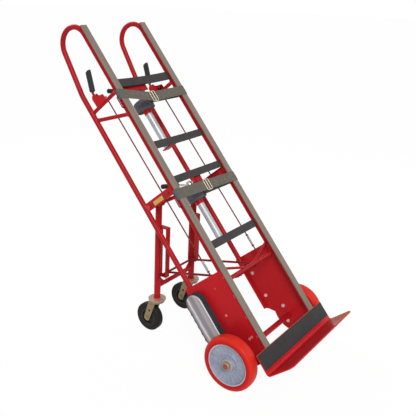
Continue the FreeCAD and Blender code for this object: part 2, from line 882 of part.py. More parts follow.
def brake_cable():
    way = (cable_top - cable_foot).normalize()
    cable = rod(cable_foot, cable_top, cable_radius)
    ferrules = []
    for height in (spring_low - ferrule_height, spring_high):
        start = cable_foot + way * (height - cable_foot.z)
        ferrules.append(rod(start, start + way * ferrule_height, ferrule_radius))
    return cable.fuse(ferrules).removeSplitter()


def spring_point(angle, low, rise):
    return Vector(spring_radius * math.cos(angle), spring_radius * math.sin(angle), low + rise * angle)


def spring_way(angle, rise):
    return Vector(-spring_radius * math.sin(angle), spring_radius * math.cos(angle), rise).normalize()


def biarc(start, start_way, end, end_way):
    run = end - start
    both = start_way + end_way
    lack = 1 - start_way * end_way
    along = run * both
    reach = (-along + math.sqrt(along ** 2 + 2 * lack * (run * run))) / (2 * lack)
    first = start + start_way * reach
    last = end - end_way * reach
    joint = (first + last) / 2
    return [arc_edge(start, first, joint), arc_edge(joint, last, end)]


# return spring round the cable, its coils drawn as pairs of tangent arcs
def cable_spring():
    low = spring_low + spring_wire + near_fit
    high = spring_high - spring_wire - near_fit
    rise = (high - low) / (2 * math.pi * spring_turns)
    edges = []
    for k in range(4 * spring_turns):
        angles = (k * math.pi / 2, (k + 1) * math.pi / 2)
        ends = [spring_point(a, low, rise) for a in angles]
        ways = [spring_way(a, rise) for a in angles]
        edges += biarc(ends[0], ways[0], ends[1], ways[1])
    coil = sweep(Part.Wire(edges), spring_wire)
    share = ((low + high) / 2 - cable_foot.z) / (cable_top.z - cable_foot.z)
    coil.translate(Vector(cable_x, cable_foot.y + share * (cable_top.y - cable_foot.y), 0))
    return coil


# carriage legs with flat-bar slot loops, in the level layout
pivot = Vector(-leg_half, *level(pivot_depth, pivot_height))
foot = Vector(-leg_half, leg_foot_back, plate_height)
down = (foot - pivot).normalize()
forward = Vector(0, down.z, -down.y)


def leg_point(height, ahead):
    return pivot + down * ((pivot.z - height) / -down.z) + forward * ahead


pin = leg_point(slot_low, link_ahead) - down * (slot_sheet + link_radius + near_fit)
leg_solid = rod(pivot, foot + down * leg_radius, leg_radius)
floor_cut = block(-leg_half - leg_radius, -leg_half + leg_radius, leg_foot_back - leg_radius * 2,
                  leg_foot_back + leg_radius * 2, plate_height - leg_radius * 2, plate_height)


def slot_block(inset):
    near = slot_near + inset
    far = slot_reach - inset
    corners = [leg_point(slot_high - inset, near), leg_point(slot_high - inset, far),
               leg_point(slot_low + inset, far), leg_point(slot_low + inset, near)]
    side = slot_side - leg_half
    return slab([(point.y, point.z) for point in corners], side, side + slot_width)


def carriage_leg():
    hollow = rod(leg_point(slot_high + slot_reach, 0), foot + down * leg_radius, leg_radius - leg_wall)
    sleeve = across(-leg_half - sleeve_width / 2, -leg_half + sleeve_width / 2, pivot.y, pivot.z,
                    sleeve_radius)
    guide = slot_block(0).cut(slot_block(slot_sheet))
    tube = leg_solid.cut(floor_cut)
    bore = across(-leg_half - sleeve_width, -leg_half + sleeve_width, pivot.y, pivot.z,
                  shaft_radius + running_fit)
    return tube.fuse([sleeve, guide]).removeSplitter().cut(hollow).cut(bore)


def carriage_brace():
    middle_point = leg_point(cross_height, 0)
    bar = across(-leg_half, leg_half, middle_point.y, middle_point.z, cross_radius)
    top = middle_point.z
    corner = [Vector(-leg_half, middle_point.y - gusset_thick / 2, top),
              Vector(-leg_half, middle_point.y - gusset_thick / 2, top + gusset_size + leg_radius),
              Vector(-leg_half + gusset_size + leg_radius, middle_point.y - gusset_thick / 2, top)]
    gusset = Part.Face(Part.makePolygon(corner + corner[:1])).extrude(ey * gusset_thick)
    return bar.fuse([gusset, flip(gusset)]).removeSplitter().cut(leg_solid).cut(flip(leg_solid))


# brace: rod through both slots, with a looped front that rests in the hooks
def brace_link():
    front = level(hook_depth, hook_height)
    points = [Vector(-link_arm_half, pin.y, pin.z), Vector(-link_arm_half, *front),
              Vector(link_arm_half, *front), Vector(link_arm_half, pin.y, pin.z)]
    loop = sweep(bent_path(points, link_bend), link_radius)
    return loop.fuse(across(-link_end, link_end, pin.y, pin.z, link_radius)).removeSplitter()


# casters: race disc under the leg, crown, fork cheeks, bolt and wheel
disc_low = plate_height - plate_disc_thick
crown_high = disc_low - race_gap
crown_low = crown_high - crown_thick
caster_back = leg_foot_back + caster_trail
cheek_inner = caster_hub_width / 2 + fork_gap
cheek_outer = cheek_inner + fork_thick


def standing(radius, z0, z1):
    return Part.makeCylinder(radius, z1 - z0, Vector(-leg_half, leg_foot_back, z0), ez)


def caster_plate():
    disc = standing(plate_disc_radius, disc_low, plate_height)
    return disc.cut(standing(king_radius + running_fit, disc_low, plate_height))


def caster_fork():
    crown = standing(crown_radius, crown_low, crown_high)
    king = standing(king_radius, crown_high, plate_height - race_gap)
    outline = ((leg_foot_back - fork_front, crown_low), (leg_foot_back + fork_rear, crown_low),
               (caster_back + fork_end_radius, caster_radius), (caster_back - fork_end_radius, caster_radius))
    ahead = (fork_rear - fork_front) / 2
    hole_y = leg_foot_back + ahead + fork_hole_share * (caster_trail - ahead)
    hole_z = crown_low + fork_hole_share * (caster_radius - crown_low)
    cheeks = []
    for x in (-leg_half - cheek_outer, -leg_half + cheek_inner):
        cheek = slab(outline, x, x + fork_thick)
        cheek = cheek.fuse(across(x, x + fork_thick, caster_back, caster_radius, fork_end_radius))
        cheek = cheek.cut(across(x, x + fork_thick, caster_back, caster_radius, caster_bore + running_fit))
        cheeks.append(cheek.cut(across(x, x + fork_thick, hole_y, hole_z, fork_hole)))
    bolt = across(-leg_half - cheek_outer, -leg_half + cheek_outer, caster_back, caster_radius, caster_bore)
    nuts = []
    for x in (-leg_half - cheek_outer - caster_nut_height, -leg_half + cheek_outer):
        nuts.append(hexagon(x, x + caster_nut_height, caster_back, caster_radius, caster_nut_radius))
    return [crown.fuse([king] + cheeks).removeSplitter(), bolt.fuse(nuts).removeSplitter()]


def on_caster(shape):
    moved = shape.copy()
    moved.translate(Vector(-leg_half, caster_back, caster_radius))
    return moved


def caster_tyre():
    body = ring(caster_radius, caster_hub_radius, caster_width)
    edges = []
    for edge in body.Edges:
        if edge.Curve.TypeId == "Part::GeomCircle" and edge.Curve.Radius > caster_hub_radius + touch:
            edges.append(edge)
    return on_caster(body.makeFillet(caster_shoulder, edges))


def caster_hub():
    bore = caster_bore + running_fit
    rim = ring(caster_hub_radius, caster_hub_radius - fork_end_radius / 2, caster_width)
    web = ring(caster_hub_radius - fork_thick, bore, fork_end_radius)
    boss = ring(fork_end_radius, bore, caster_hub_width)
    return on_caster(rim.fuse([web, boss]).removeSplitter())


# nodes: leaned pieces first, then the level ones
left_plate = side_plate()
left_pivot_plate = pivot_plate()
tyre = main_tyre()
hub = main_hub()
bracket = lever_bracket()
left_lever = lever()
left_grip = lever_grip()
cable = brake_cable()
spring = cable_spring()
belt = climber_belt()
shoe = climber_shoe()
rolls = [webbing_roll(n) for n in (0, 1)]

leaned = {
    "rails": [rail_bar, flip(rail_bar), rail_tube, flip(rail_tube)],
    "left_handle_tube": [handle_tube],
    "right_handle_tube": [flip(handle_tube)],
    "left_rail_strip": [rail_strip],
    "right_rail_strip": [flip(rail_strip)],
    "side_struts": [strut.cut(tube_solid), slant_brace.cut(tube_solid), flip(strut.cut(tube_solid))],
    "crossbars": cores,
    "crossbar_pads": pads,
    "left_pivot_plate": [left_pivot_plate],
    "right_pivot_plate": [flip(left_pivot_plate)],
    "label_plate": [label_plate],
    "left_side_plate": [left_plate],
    "right_side_plate": [flip(left_plate)],
    "cross_member": [cross_member()],
    "axle": [axle, axle_sleeve],
    "nose_plate": [nose_plate()],
    "nose_rubber": [nose_rubber],
    "climber_belts": [belt, flip(belt)],
    "climber_covers": [climber_cover, flip(climber_cover)],
    "climber_shoes": [shoe, flip(shoe)],
    "frame_fasteners": fasteners(),
    "carriage_shaft": [carriage_shaft],
    "winder_brackets": [unit_bracket(0), unit_bracket(1), unit_foot(0), unit_foot(1)],
    "winder_collars": [unit_collar(0), unit_collar(1)],
    "winder_barrels": [unit_barrel(0), unit_barrel(1)],
    "upper_spool": [unit_spool(0)],
    "lower_spool": [unit_spool(1)],
    "upper_webbing_roll": [rolls[0]],
    "lower_webbing_roll": [rolls[1]],
    "upper_ratchet_handle": [ratchet_handle(0)],
    "lower_ratchet_handle": [ratchet_handle(1)],
    "upper_ratchet_grip": [ratchet_grip(0)],
    "lower_ratchet_grip": [ratchet_grip(1)],
    "upper_strap": [strap(0)],
    "lower_strap": [strap(1)],
    "strap_buckles": [buckle(0), buckle(1)],
    "wire_guides": [wire_guide(0), wire_guide(1)],
    "lever_brackets": [bracket, flip(bracket)],
    "left_brake_lever": [left_lever],
    "right_brake_lever": [flip(left_lever)],
    "left_lever_grip": [left_grip],
    "right_lever_grip": [flip(left_grip)],
    "brake_cables": [cable, flip(cable)],
    "cable_springs": [spring, flip(spring)],
    "left_tyre": [on_axle(tyre, -1)],
    "right_tyre": [on_axle(tyre, 1)],
    "left_hub": [on_axle(hub, -1)],
    "right_hub": [on_axle(hub, 1)],
}
leg = carriage_leg()
disc = caster_plate()
fork = caster_fork()
caster_tread = caster_tyre()
caster_core = caster_hub()
levelled = {
    "left_carriage_leg": [leg],
    "right_carriage_leg": [flip(leg)],
    "carriage_brace": [carriage_brace()],
    "brace_link": [brace_link()],
    "caster_plates": [disc, flip(disc)],
    "left_caster_fork": fork,
    "right_caster_fork": [flip(s) for s in fork],
    "left_caster_tyre": [caster_tread],
    "right_caster_tyre": [flip(caster_tread)],
    "left_caster_hub": [caster_core],
    "right_caster_hub": [flip(caster_core)],
}

os.makedirs("parts", exist_ok=True)
for pieces, put in ((leaned, lean_back), (levelled, set_level)):
    for name, shapes in pieces.items():
        placed = [put(shape) for shape in shapes]
        node = placed[0] if len(placed) == 1 else Part.makeCompound(placed)
        node.exportStep("parts/" + name + ".step")


# least gap between neighbouring turns of each wound form, from points along it
def least_gap(points, skip, thick):
    least = None
    for i, here in enumerate(points):
        for there in points[i + skip:]:
            gap = (there - here).Length - thick
            if least is None or gap < least:
                least = gap
    return least


samples = 16
roll_points = []
for k in range(samples * roll_turns):
    turn = 2 * math.pi * k / samples
    half_turns = 2 * k // samples
    way = 1 - 2 * (half_turns % 2)
    radius = roll_inner + roll_pitch / 4 + roll_pitch / 2 * half_turns + strap_thick / 2
    roll_points.append(Vector(-roll_pitch / 4 * way + radius * math.cos(turn), radius * math.sin(turn), 0))
coil_rise = (spring_high - spring_low - 2 * spring_wire - 2 * near_fit) / (2 * math.pi * spring_turns)
coil_points = [spring_point(2 * math.pi * k / samples, 0, coil_rise) for k in range(samples * spring_turns)]
half_round = samples // 2
roll_gap = least_gap(roll_points, half_round, strap_thick)
coil_gap = least_gap(coil_points, half_round, 2 * spring_wire)
print("webbing roll radii", roll_inner, roll_outer, "least gap", round(roll_gap, 3))
print("cable spring radius", spring_radius, "least gap", round(coil_gap, 3))


# axes of the moving pieces in the finished layout
def told(name, x, back, up):
    print("axis", name, round(x, 4), round(back - middle, 4), round(up, 4))


told("main_axle", wheel_middle, *level(axle_depth, axle_height))
told("carriage_pivot", leg_half, pivot.y, pivot.z)
told("link_pin", 0, pin.y, pin.z)
told("caster_swivel", leg_half, leg_foot_back, crown_high)
told("caster_axle", leg_half, caster_back, caster_radius)
told("lever_pivot", rail_half, *level(lever_depth, lever_height))
told("upper_spool", 0, *level(unit_depth, unit_rolls[0]))
told("lower_spool", 0, *level(unit_depth, unit_rolls[1]))
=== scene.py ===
import bmesh
import bpy
import math
import numpy as np
from mathutils import Matrix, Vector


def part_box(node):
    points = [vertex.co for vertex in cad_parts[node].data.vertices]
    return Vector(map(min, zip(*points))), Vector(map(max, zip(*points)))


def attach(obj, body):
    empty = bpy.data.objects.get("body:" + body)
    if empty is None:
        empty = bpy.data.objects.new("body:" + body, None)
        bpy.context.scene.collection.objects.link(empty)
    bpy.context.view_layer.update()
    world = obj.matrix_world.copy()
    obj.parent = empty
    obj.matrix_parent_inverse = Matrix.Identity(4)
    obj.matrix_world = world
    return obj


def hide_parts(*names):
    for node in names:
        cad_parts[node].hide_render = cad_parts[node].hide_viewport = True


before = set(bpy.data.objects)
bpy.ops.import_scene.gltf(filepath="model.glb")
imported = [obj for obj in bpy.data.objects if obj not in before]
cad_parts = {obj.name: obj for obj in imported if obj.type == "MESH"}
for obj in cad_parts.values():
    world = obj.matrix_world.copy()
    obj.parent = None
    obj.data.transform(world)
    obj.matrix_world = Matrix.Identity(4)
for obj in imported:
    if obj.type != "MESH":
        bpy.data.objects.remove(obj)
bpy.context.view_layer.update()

# the frame leans back about its axle; pieces are laid out upright as (x, depth, height)
lay = {"leanDeg": 39.5, "axleDepth": 0.145, "axleHeight": 0.114, "railX": 0.2095}
leanAngle = math.radians(lay["leanDeg"])
leanCos, leanSin = math.cos(leanAngle), math.sin(leanAngle)
axleLow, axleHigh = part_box("axle")
axleY, axleZ = (axleLow.y + axleHigh.y) / 2, (axleLow.z + axleHigh.z) / 2


def turned(v):
    # upright direction (x, depth, height) as a direction of the shared frame
    v = np.asarray(v, float)
    x, d, h = v[..., 0], v[..., 1], v[..., 2]
    return np.stack([x, leanCos * d + leanSin * h, leanCos * h - leanSin * d], -1)


def leaned(points):
    # upright point turned back about the axle into the shared frame
    fromAxle = np.asarray(points, float) - [0, lay["axleDepth"], lay["axleHeight"]]
    return turned(fromAxle) + [0, axleY, axleZ]


def unit(v):
    return v / np.linalg.norm(v, axis=-1, keepdims=True)


# grids joined into meshes: distance at which seams merge, points on a rounded corner
meshing = {"merge": 1e-6, "cornerPoints": 9}


def gridFaces(rows, cols, wrapRows, wrapCols):
    # quads of a rows x cols grid, joined round where a side wraps
    i = np.arange(rows if wrapRows else rows - 1)
    j = np.arange(cols if wrapCols else cols - 1)
    a, b = np.meshgrid(i, j, indexing="ij")
    c, d = (a + 1) % rows, (b + 1) % cols
    return np.stack([a * cols + b, c * cols + b, c * cols + d, a * cols + d], -1).reshape(-1, 4)


def piece(name, sheets, body, finish, replaces=()):
    # sheets: (points, uv, wrapRows, wrapCols) grids joined into one closed mesh
    verts, faces, uvs, base = [], [], [], 0
    for points, uv, wrapRows, wrapCols in sheets:
        rows, cols = points.shape[:2]
        verts.append(points.reshape(-1, 3))
        uvs.append(uv.reshape(-1, 2))
        faces.append(gridFaces(rows, cols, wrapRows, wrapCols) + base)
        base += rows * cols
    verts, faces, uvs = np.concatenate(verts), np.concatenate(faces), np.concatenate(uvs)
    mesh = bpy.data.meshes.new(name)
    mesh.vertices.add(len(verts))
    mesh.vertices.foreach_set("co", verts.astype(np.float32).ravel())
    mesh.loops.add(faces.size)
    mesh.loops.foreach_set("vertex_index", faces.astype(np.int32).ravel())
    mesh.polygons.add(len(faces))
    mesh.polygons.foreach_set("loop_start", np.arange(0, faces.size, 4, dtype=np.int32))
    layer = mesh.uv_layers.new(name="UVMap")
    layer.data.foreach_set("uv", uvs[faces.ravel()].astype(np.float32).ravel())
    mesh.update(calc_edges=True)
    work = bmesh.new()
    work.from_mesh(mesh)
    bmesh.ops.remove_doubles(work, verts=work.verts, dist=meshing["merge"])
    bmesh.ops.recalc_face_normals(work, faces=work.faces)
    work.to_mesh(mesh)
    work.free()
    mesh.polygons.foreach_set("use_smooth", np.ones(len(mesh.polygons), bool))
    mesh.materials.append(finish)
    obj = bpy.data.objects.new(name, mesh)
    bpy.context.collection.objects.link(obj)
    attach(obj, body)
    if replaces:
        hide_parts(*replaces)


def uvOf(u, v):
    # u down the rows and v along the columns of a grid
    return np.stack(np.broadcast_arrays(u[:, None], v[None, :]), -1)


def carried(path, side, up, profile):
    # profile (n, 2) carried along a path: path + side * profile.x + up * profile.y
    across = side[:, None, :] * profile[None, :, :1]
    return path[:, None, :] + across + up[:, None, :] * profile[None, :, 1:]


def capped(points, uv):
    # both ends closed with a row drawn in to the middle of the end ring
    cols = points.shape[1]
    first = np.repeat(points[:1].mean(1, keepdims=True), cols, 1)
    last = np.repeat(points[-1:].mean(1, keepdims=True), cols, 1)
    return np.concatenate([first, points, last]), np.concatenate([uv[:1], uv, uv[-1:]]), False, True


def circle(count):
    # angles of evenly spaced points round a full turn
    return np.linspace(0, 2 * np.pi, count, endpoint=False)


def superellipse(t, power):
    # point at angle t on |x|^p + |y|^p = 1
    c, s = np.cos(t), np.sin(t)
    return np.sign(c) * np.abs(c) ** (2 / power), np.sign(s) * np.abs(s) ** (2 / power)


def roundProfile(width, thick, power, count):
    # superellipse: |x / half width|^p + |y / half thickness|^p = 1
    x, y = superellipse(circle(count), power)
    return np.stack([width / 2 * x, thick / 2 * y], -1)


def blunt(t, power):
    # 1 over most of -1..1, rounded off to 0 at both ends: (1 - |t|^p)^(1/2)
    return np.sqrt(np.clip(1 - np.abs(t) ** power, 0, 1))


def lengths(path):
    # distance run along a path at each of its points
    return np.concatenate([[0], np.cumsum(np.linalg.norm(np.diff(path, axis=0), axis=1))])


def softRun(corners, radius, step):
    # straight runs joined by quadratic corners, as closely spaced points
    corners = np.asarray(corners, float)
    runs, here = [], corners[0]
    t = np.linspace(0, 1, meshing["cornerPoints"])[:, None]
    for before, corner, after in zip(corners, corners[1:], corners[2:]):
        a = corner - unit(corner - before) * radius
        b = corner + unit(after - corner) * radius
        count = max(2, int(np.linalg.norm(a - here) / step))
        runs += [here + (a - here) * np.linspace(0, 1, count, endpoint=False)[:, None],
                 (1 - t) ** 2 * a + 2 * t * (1 - t) * corner + t ** 2 * b]
        here = b
    count = max(2, int(np.linalg.norm(corners[-1] - here) / step))
    runs.append(here + (corners[-1] - here) * np.linspace(0, 1, count + 1)[1:, None])
    return np.concatenate(runs)


class Wire:
    # one socket that answers to + - * and **
    def __init__(self, finish, socket):
        self.finish, self.socket = finish, socket

    def pick(self, out):
        return Wire(self.finish, self.socket.node.outputs[out])

    def maths(self, operation, a, b=0.0):
        return self.finish.node("ShaderNodeMath", {"operation": operation}, {0: a, 1: b})

    def __add__(self, other):
        return self.maths("ADD", self, other)

    def __sub__(self, other):
        return self.maths("SUBTRACT", self, other)

    def __mul__(self, other):
        return self.maths("MULTIPLY", self, other)

    def __pow__(self, other):
        return self.maths("POWER", self, other)

    def __radd__(self, other):
        return self.maths("ADD", other, self)

    def __rsub__(self, other):
        return self.maths("SUBTRACT", other, self)

    def __rmul__(self, other):
        return self.maths("MULTIPLY", other, self)

    def __abs__(self):
        return self.maths("ABSOLUTE", self)

    def atLeast(self, other):
        return self.maths("MAXIMUM", self, other)

    def sine(self):
        return self.maths("SINE", self)


def distance(a, b):
    # length of the vector (a, b), from wires
    return (a * a + b * b) ** 0.5


class Finish:
    # node tree of a material or of the world, with its shader
    def __init__(self, owner, shader):
        owner.use_nodes = True
        self.owner, self.tree = owner, owner.node_tree
        self.shader = self.tree.nodes[shader]

    def node(self, kind, settings=None, sockets=None, out=0):
        # any node: settings first, then its sockets by name or number
        made = self.tree.nodes.new(kind)
        for key, value in (settings or {}).items():
            if key == "stops":
                ramp = made.color_ramp
                while len(ramp.elements) < len(value):
                    ramp.elements.new(0.5)
                for element, (place, colour) in zip(ramp.elements, value):
                    element.position, element.color = place, colour
            else:
                setattr(made, key, value)
        for key, value in (sockets or {}).items():
            self.feed(made.inputs[key], value)
        return Wire(self, made.outputs[out])

    def feed(self, socket, value):
        if isinstance(value, Wire):
            self.tree.links.new(value.socket, socket)
        else:
            socket.default_value = value

    def place(self, uv=False):
        return self.node("ShaderNodeTexCoord", out="UV" if uv else "Object")

    def axes(self, coords):
        x = self.node("ShaderNodeSeparateXYZ", {}, {0: coords})
        return x, x.pick(1), x.pick(2)

    def upright(self):
        # x, depth and height of the upright layout
        x, y, z = self.axes(self.place())
        y, z = y - axleY, z - axleZ
        depth = y * leanCos - z * leanSin + lay["axleDepth"]
        return x, depth, y * leanSin + z * leanCos + lay["axleHeight"]

    def fromAxle(self):
        # distance from the line of the axle
        _, y, z = self.axes(self.place())
        return distance(y - axleY, z - axleZ)

    def joined(self, x, y, z):
        return self.node("ShaderNodeCombineXYZ", {}, {0: x, 1: y, 2: z})

    def noise(self, scale, detail, rough=0.5, coords=None):
        return self.node("ShaderNodeTexNoise", {}, {"Vector": coords or self.place(), "Scale": scale,
                                                    "Detail": detail, "Roughness": rough})

    def streaks(self, scale, stretch, detail=3.0, rough=0.6):
        # noise drawn out along the upright axes
        x, d, h = self.upright()
        coords = self.joined(x * stretch[0], d * stretch[1], h * stretch[2])
        return self.noise(scale, detail, rough, coords)

    def ramp(self, value, low, high):
        return self.node("ShaderNodeMapRange", {"clamp": True},
                         {"Value": value, "From Min": low, "From Max": high})

    def mix(self, amount, a, b):
        return self.node("ShaderNodeMix", {"data_type": "RGBA"}, {0: amount, 6: a, 7: b}, out=2)

    def bump(self, height, depth, strength):
        return self.node("ShaderNodeBump", {}, {"Height": height, "Distance": depth, "Strength": strength})

    def seen(self):
        # 1 for what the camera sees, also mirrored or through something clear
        path = self.node("ShaderNodeLightPath", out="Is Camera Ray")
        return path.atLeast(path.pick("Is Glossy Ray")).atLeast(path.pick("Is Transmission Ray"))

    def shade(self, **sockets):
        for key, value in sockets.items():
            self.feed(self.shader.inputs[key.replace("_", " ")], value)
        return self.owner


def surface(name):
    return Finish(bpy.data.materials.new(name), "Principled BSDF")


def rgb(r, g, b):
    # 0-255 screen colour to linear light: a straight foot, then ((c + 0.055) / 1.055) ^ 2.4
    c = np.array([r, g, b]) / 255
    lin = np.where(c <= 0.04045, c / 12.92, ((c + 0.055) / 1.055) ** 2.4)
    return (*[float(v) for v in lin], 1.0)


# in the finishes a noise is (scale, detail, roughness), a ramp (from, to), a bump (distance, strength),
# a tone a 0-255 colour, and a share or span how much of a thing is mixed in
paint = {"cloud": (5, 3), "speck": (240, 2), "speckRamp": (0.64, 0.78), "speckTone": (228, 110, 108),
         "speckShare": 0.10, "sheen": (14, 2), "sheenSpan": 0.10, "coatRough": 0.28, "specular": 0.06,
         "peel": (420, 2), "peelBump": (0.0002, 0.3)}


def enamel(name, colour, deep, gloss, coat=0.05):
    # two close reds in clouds, pale specks and a fine orange peel
    f = surface(name)
    base = f.mix(f.noise(*paint["cloud"]), rgb(*colour), rgb(*deep))
    speck = f.ramp(f.noise(*paint["speck"]), *paint["speckRamp"])
    base = f.mix(speck * paint["speckShare"], base, rgb(*paint["speckTone"]))
    rough = gloss + paint["sheenSpan"] * f.noise(*paint["sheen"])
    return f.shade(Base_Color=base, Roughness=rough, Coat_Weight=coat, Coat_Roughness=paint["coatRough"],
                   Specular_IOR_Level=paint["specular"],
                   Normal=f.bump(f.noise(*paint["peel"]), *paint["peelBump"]))


# the corner keys lay a tan painted reflection on the toe's right corner, drawn as a worn patch
noseWearAndReflection = {"red": (188, 27, 33), "deep": (174, 21, 28), "rough": 0.30, "coat": 0.05, "specular": 0.08,
            "edgeNoise": (90, 4, 0.6), "edgeStray": 0.004, "edgeRamp": (0.0962, 0.0975),
            "edgeTone": (148, 104, 86), "edgeRough": 0.2,
            "cornerX": 0.305, "cornerDepth": -0.135, "cornerNoise": (40, 4, 0.6), "cornerStray": 0.03,
            "cornerRamp": (0.085, 0.165), "cornerReflectionTone": (168, 110, 68), "cornerReflectionShare": 0.6,
            "cornerRough": 0.3}


def nosePaint(name):
    # red sheet worn bare on its upper edge; a painted tan reflection, on duller paint, at the toe's right
    # corner
    w = noseWearAndReflection
    f = surface(name)
    x, d, h = f.upright()
    bare = f.ramp(h + f.noise(*w["edgeNoise"]) * w["edgeStray"], *w["edgeRamp"])
    corner = distance(x - w["cornerX"], d - w["cornerDepth"])
    # worn: where the painted reflection lies on the toe's corner
    worn = 1 - f.ramp(corner + f.noise(*w["cornerNoise"]) * w["cornerStray"], *w["cornerRamp"])
    base = f.mix(f.noise(*paint["cloud"]), rgb(*w["red"]), rgb(*w["deep"]))
    base = f.mix(bare, base, rgb(*w["edgeTone"]))
    base = f.mix(worn * w["cornerReflectionShare"], base, rgb(*w["cornerReflectionTone"]))
    return f.shade(Base_Color=base, Roughness=w["rough"] + w["edgeRough"] * bare + w["cornerRough"] * worn,
                   Coat_Weight=w["coat"] - w["coat"] * worn, Specular_IOR_Level=w["specular"],
                   Normal=f.bump(f.noise(*paint["peel"]), *paint["peelBump"]))


facing = {"tone": (128, 118, 107), "deep": (113, 104, 93), "pale": (146, 136, 123), "streak": 60,
          "stretch": (1, 1, 0.06), "streakRamp": (0.3, 0.7), "grain": (900, 2), "grainRamp": (0.55, 0.8),
          "grainShare": 0.35, "rough": 0.52, "roughSpan": 0.14, "specular": 0.18, "bump": (0.0003, 0.5)}


def dullFacing(name):
    # khaki strip with long streaks and a pale grain
    f = surface(name)
    streak = f.streaks(facing["streak"], facing["stretch"])
    grain = f.noise(*facing["grain"])
    base = f.mix(f.ramp(streak, *facing["streakRamp"]), rgb(*facing["tone"]), rgb(*facing["deep"]))
    base = f.mix(f.ramp(grain, *facing["grainRamp"]) * facing["grainShare"], base, rgb(*facing["pale"]))
    return f.shade(Base_Color=base, Roughness=facing["rough"] + facing["roughSpan"] * streak,
                   Specular_IOR_Level=facing["specular"], Normal=f.bump(grain + streak, *facing["bump"]))


moulding = {"cloud": (18, 4, 0.6), "cloudRamp": (0.35, 0.75), "cloudShare": 0.6, "roughSpan": 0.12,
            "specular": 0.13, "grainDetail": 2, "grainStrength": 0.5}


def rubber(name, colour, pale, rough, grainScale, depth):
    # dark rubber or plastic, clouded paler, with a fine grain
    f = surface(name)
    cloud = f.noise(*moulding["cloud"])
    paler = f.ramp(cloud, *moulding["cloudRamp"]) * moulding["cloudShare"]
    grain = f.noise(grainScale, moulding["grainDetail"])
    return f.shade(Base_Color=f.mix(paler, rgb(*colour), rgb(*pale)),
                   Roughness=rough + moulding["roughSpan"] * cloud, Specular_IOR_Level=moulding["specular"],
                   Normal=f.bump(grain, depth, moulding["grainStrength"]))


plating = {"streak": 140, "cloud": (9, 3), "cloudRamp": (0.3, 0.7), "roughSpan": 0.16, "bump": (0.00015, 0.4)}


def plated(name, colour, dull, rough, metal=1.0, stretch=(1, 1, 1)):
    # bright metal dulled in clouds, with fine streaks
    f = surface(name)
    streak = f.streaks(plating["streak"], stretch)
    base = f.mix(f.ramp(f.noise(*plating["cloud"]), *plating["cloudRamp"]), rgb(*colour), rgb(*dull))
    return f.shade(Base_Color=base, Metallic=metal, Roughness=rough + plating["roughSpan"] * streak,
                   Normal=f.bump(streak, *plating["bump"]))


weave = {"rib": 0.0028, "pick": 0.0021, "stagger": 1.2, "ramp": (-0.8, 0.9), "wear": (55, 4, 0.6),
         "wearRamp": (0.5, 0.75), "wearShare": 0.3, "wearTone": (140, 136, 128), "lapTone": (86, 96, 97),
         "lapFade": 0.003, "rough": 0.82, "roughSpan": 0.1, "specular": 0.1, "bump": (0.0004, 0.7)}


def webbing(name, colour, pale, lap):
    # ribs along the strap and picks across it; the lapped end is a slate shade
    f = surface(name)
    along, over, _ = f.axes(f.place(uv=True))
    ribs = (over * (2 * math.pi / weave["rib"])).sine()
    picks = (along * (2 * math.pi / weave["pick"]) + ribs * weave["stagger"]).sine()
    relief = ribs * 0.5 + picks * 0.5
    worn = f.noise(*weave["wear"])
    base = f.mix(f.ramp(relief, *weave["ramp"]), rgb(*colour), rgb(*pale))
    base = f.mix(f.ramp(worn, *weave["wearRamp"]) * weave["wearShare"], base, rgb(*weave["wearTone"]))
    base = f.mix(1 - f.ramp(along, lap, lap + weave["lapFade"]), base, rgb(*weave["lapTone"]))
    return f.shade(Base_Color=base, Roughness=weave["rough"] + weave["roughSpan"] * worn,
                   Specular_IOR_Level=weave["specular"], Normal=f.bump(relief, *weave["bump"]))


tread = {"wall": (168, 27, 27), "top": (200, 42, 31), "shoulder": (0.108, 0.122), "stray": 0.004,
         "strayNoise": (30, 3), "scuff": (75, 4, 0.65), "scuffRamp": (0.56, 0.8), "scuffShare": 0.25,
         "scuffTone": (190, 60, 40), "rough": 0.38, "scuffRough": 0.2, "coat": 0.03, "coatRough": 0.25,
         "specular": 0.06, "grain": (520, 2), "bump": (0.0003, 0.4)}


def treadRubber(name):
    # bright tread over a redder sidewall, told apart by distance from the axle
    f = surface(name)
    scuff = f.ramp(f.noise(*tread["scuff"]), *tread["scuffRamp"])
    outer = f.ramp(f.fromAxle() + tread["stray"] * f.noise(*tread["strayNoise"]), *tread["shoulder"])
    base = f.mix(outer, rgb(*tread["wall"]), rgb(*tread["top"]))
    base = f.mix(scuff * tread["scuffShare"], base, rgb(*tread["scuffTone"]))
    return f.shade(Base_Color=base, Roughness=tread["rough"] + tread["scuffRough"] * scuff,
                   Coat_Weight=tread["coat"], Coat_Roughness=tread["coatRough"],
                   Specular_IOR_Level=tread["specular"],
                   Normal=f.bump(f.noise(*tread["grain"]), *tread["bump"]))


hubTones = {"dish": (124, 130, 147), "pale": (150, 155, 171), "cloud": (26, 4, 0.6), "cloudRamp": (0.3, 0.72),
            "rim": (190, 176, 182), "rimRamp": (0.0915, 0.0935), "boss": (154, 142, 136),
            "bossRamp": (0.0270, 0.0305), "rough": 0.42, "roughSpan": 0.15, "specular": 0.22,
            "grain": (300, 2), "bump": (0.0003, 0.4)}


def mouldedHub(name):
    # pale rim, blue-grey dish and a tan bushing, told apart by distance from the axle
    t = hubTones
    f = surface(name)
    r = f.fromAxle()
    cloud = f.noise(*t["cloud"])
    base = f.mix(f.ramp(cloud, *t["cloudRamp"]), rgb(*t["dish"]), rgb(*t["pale"]))
    base = f.mix(f.ramp(r, *t["rimRamp"]), base, rgb(*t["rim"]))
    base = f.mix(1 - f.ramp(r, *t["bossRamp"]), base, rgb(*t["boss"]))
    return f.shade(Base_Color=base, Roughness=t["rough"] + t["roughSpan"] * cloud,
                   Specular_IOR_Level=t["specular"], Normal=f.bump(f.noise(*t["grain"]), *t["bump"]))
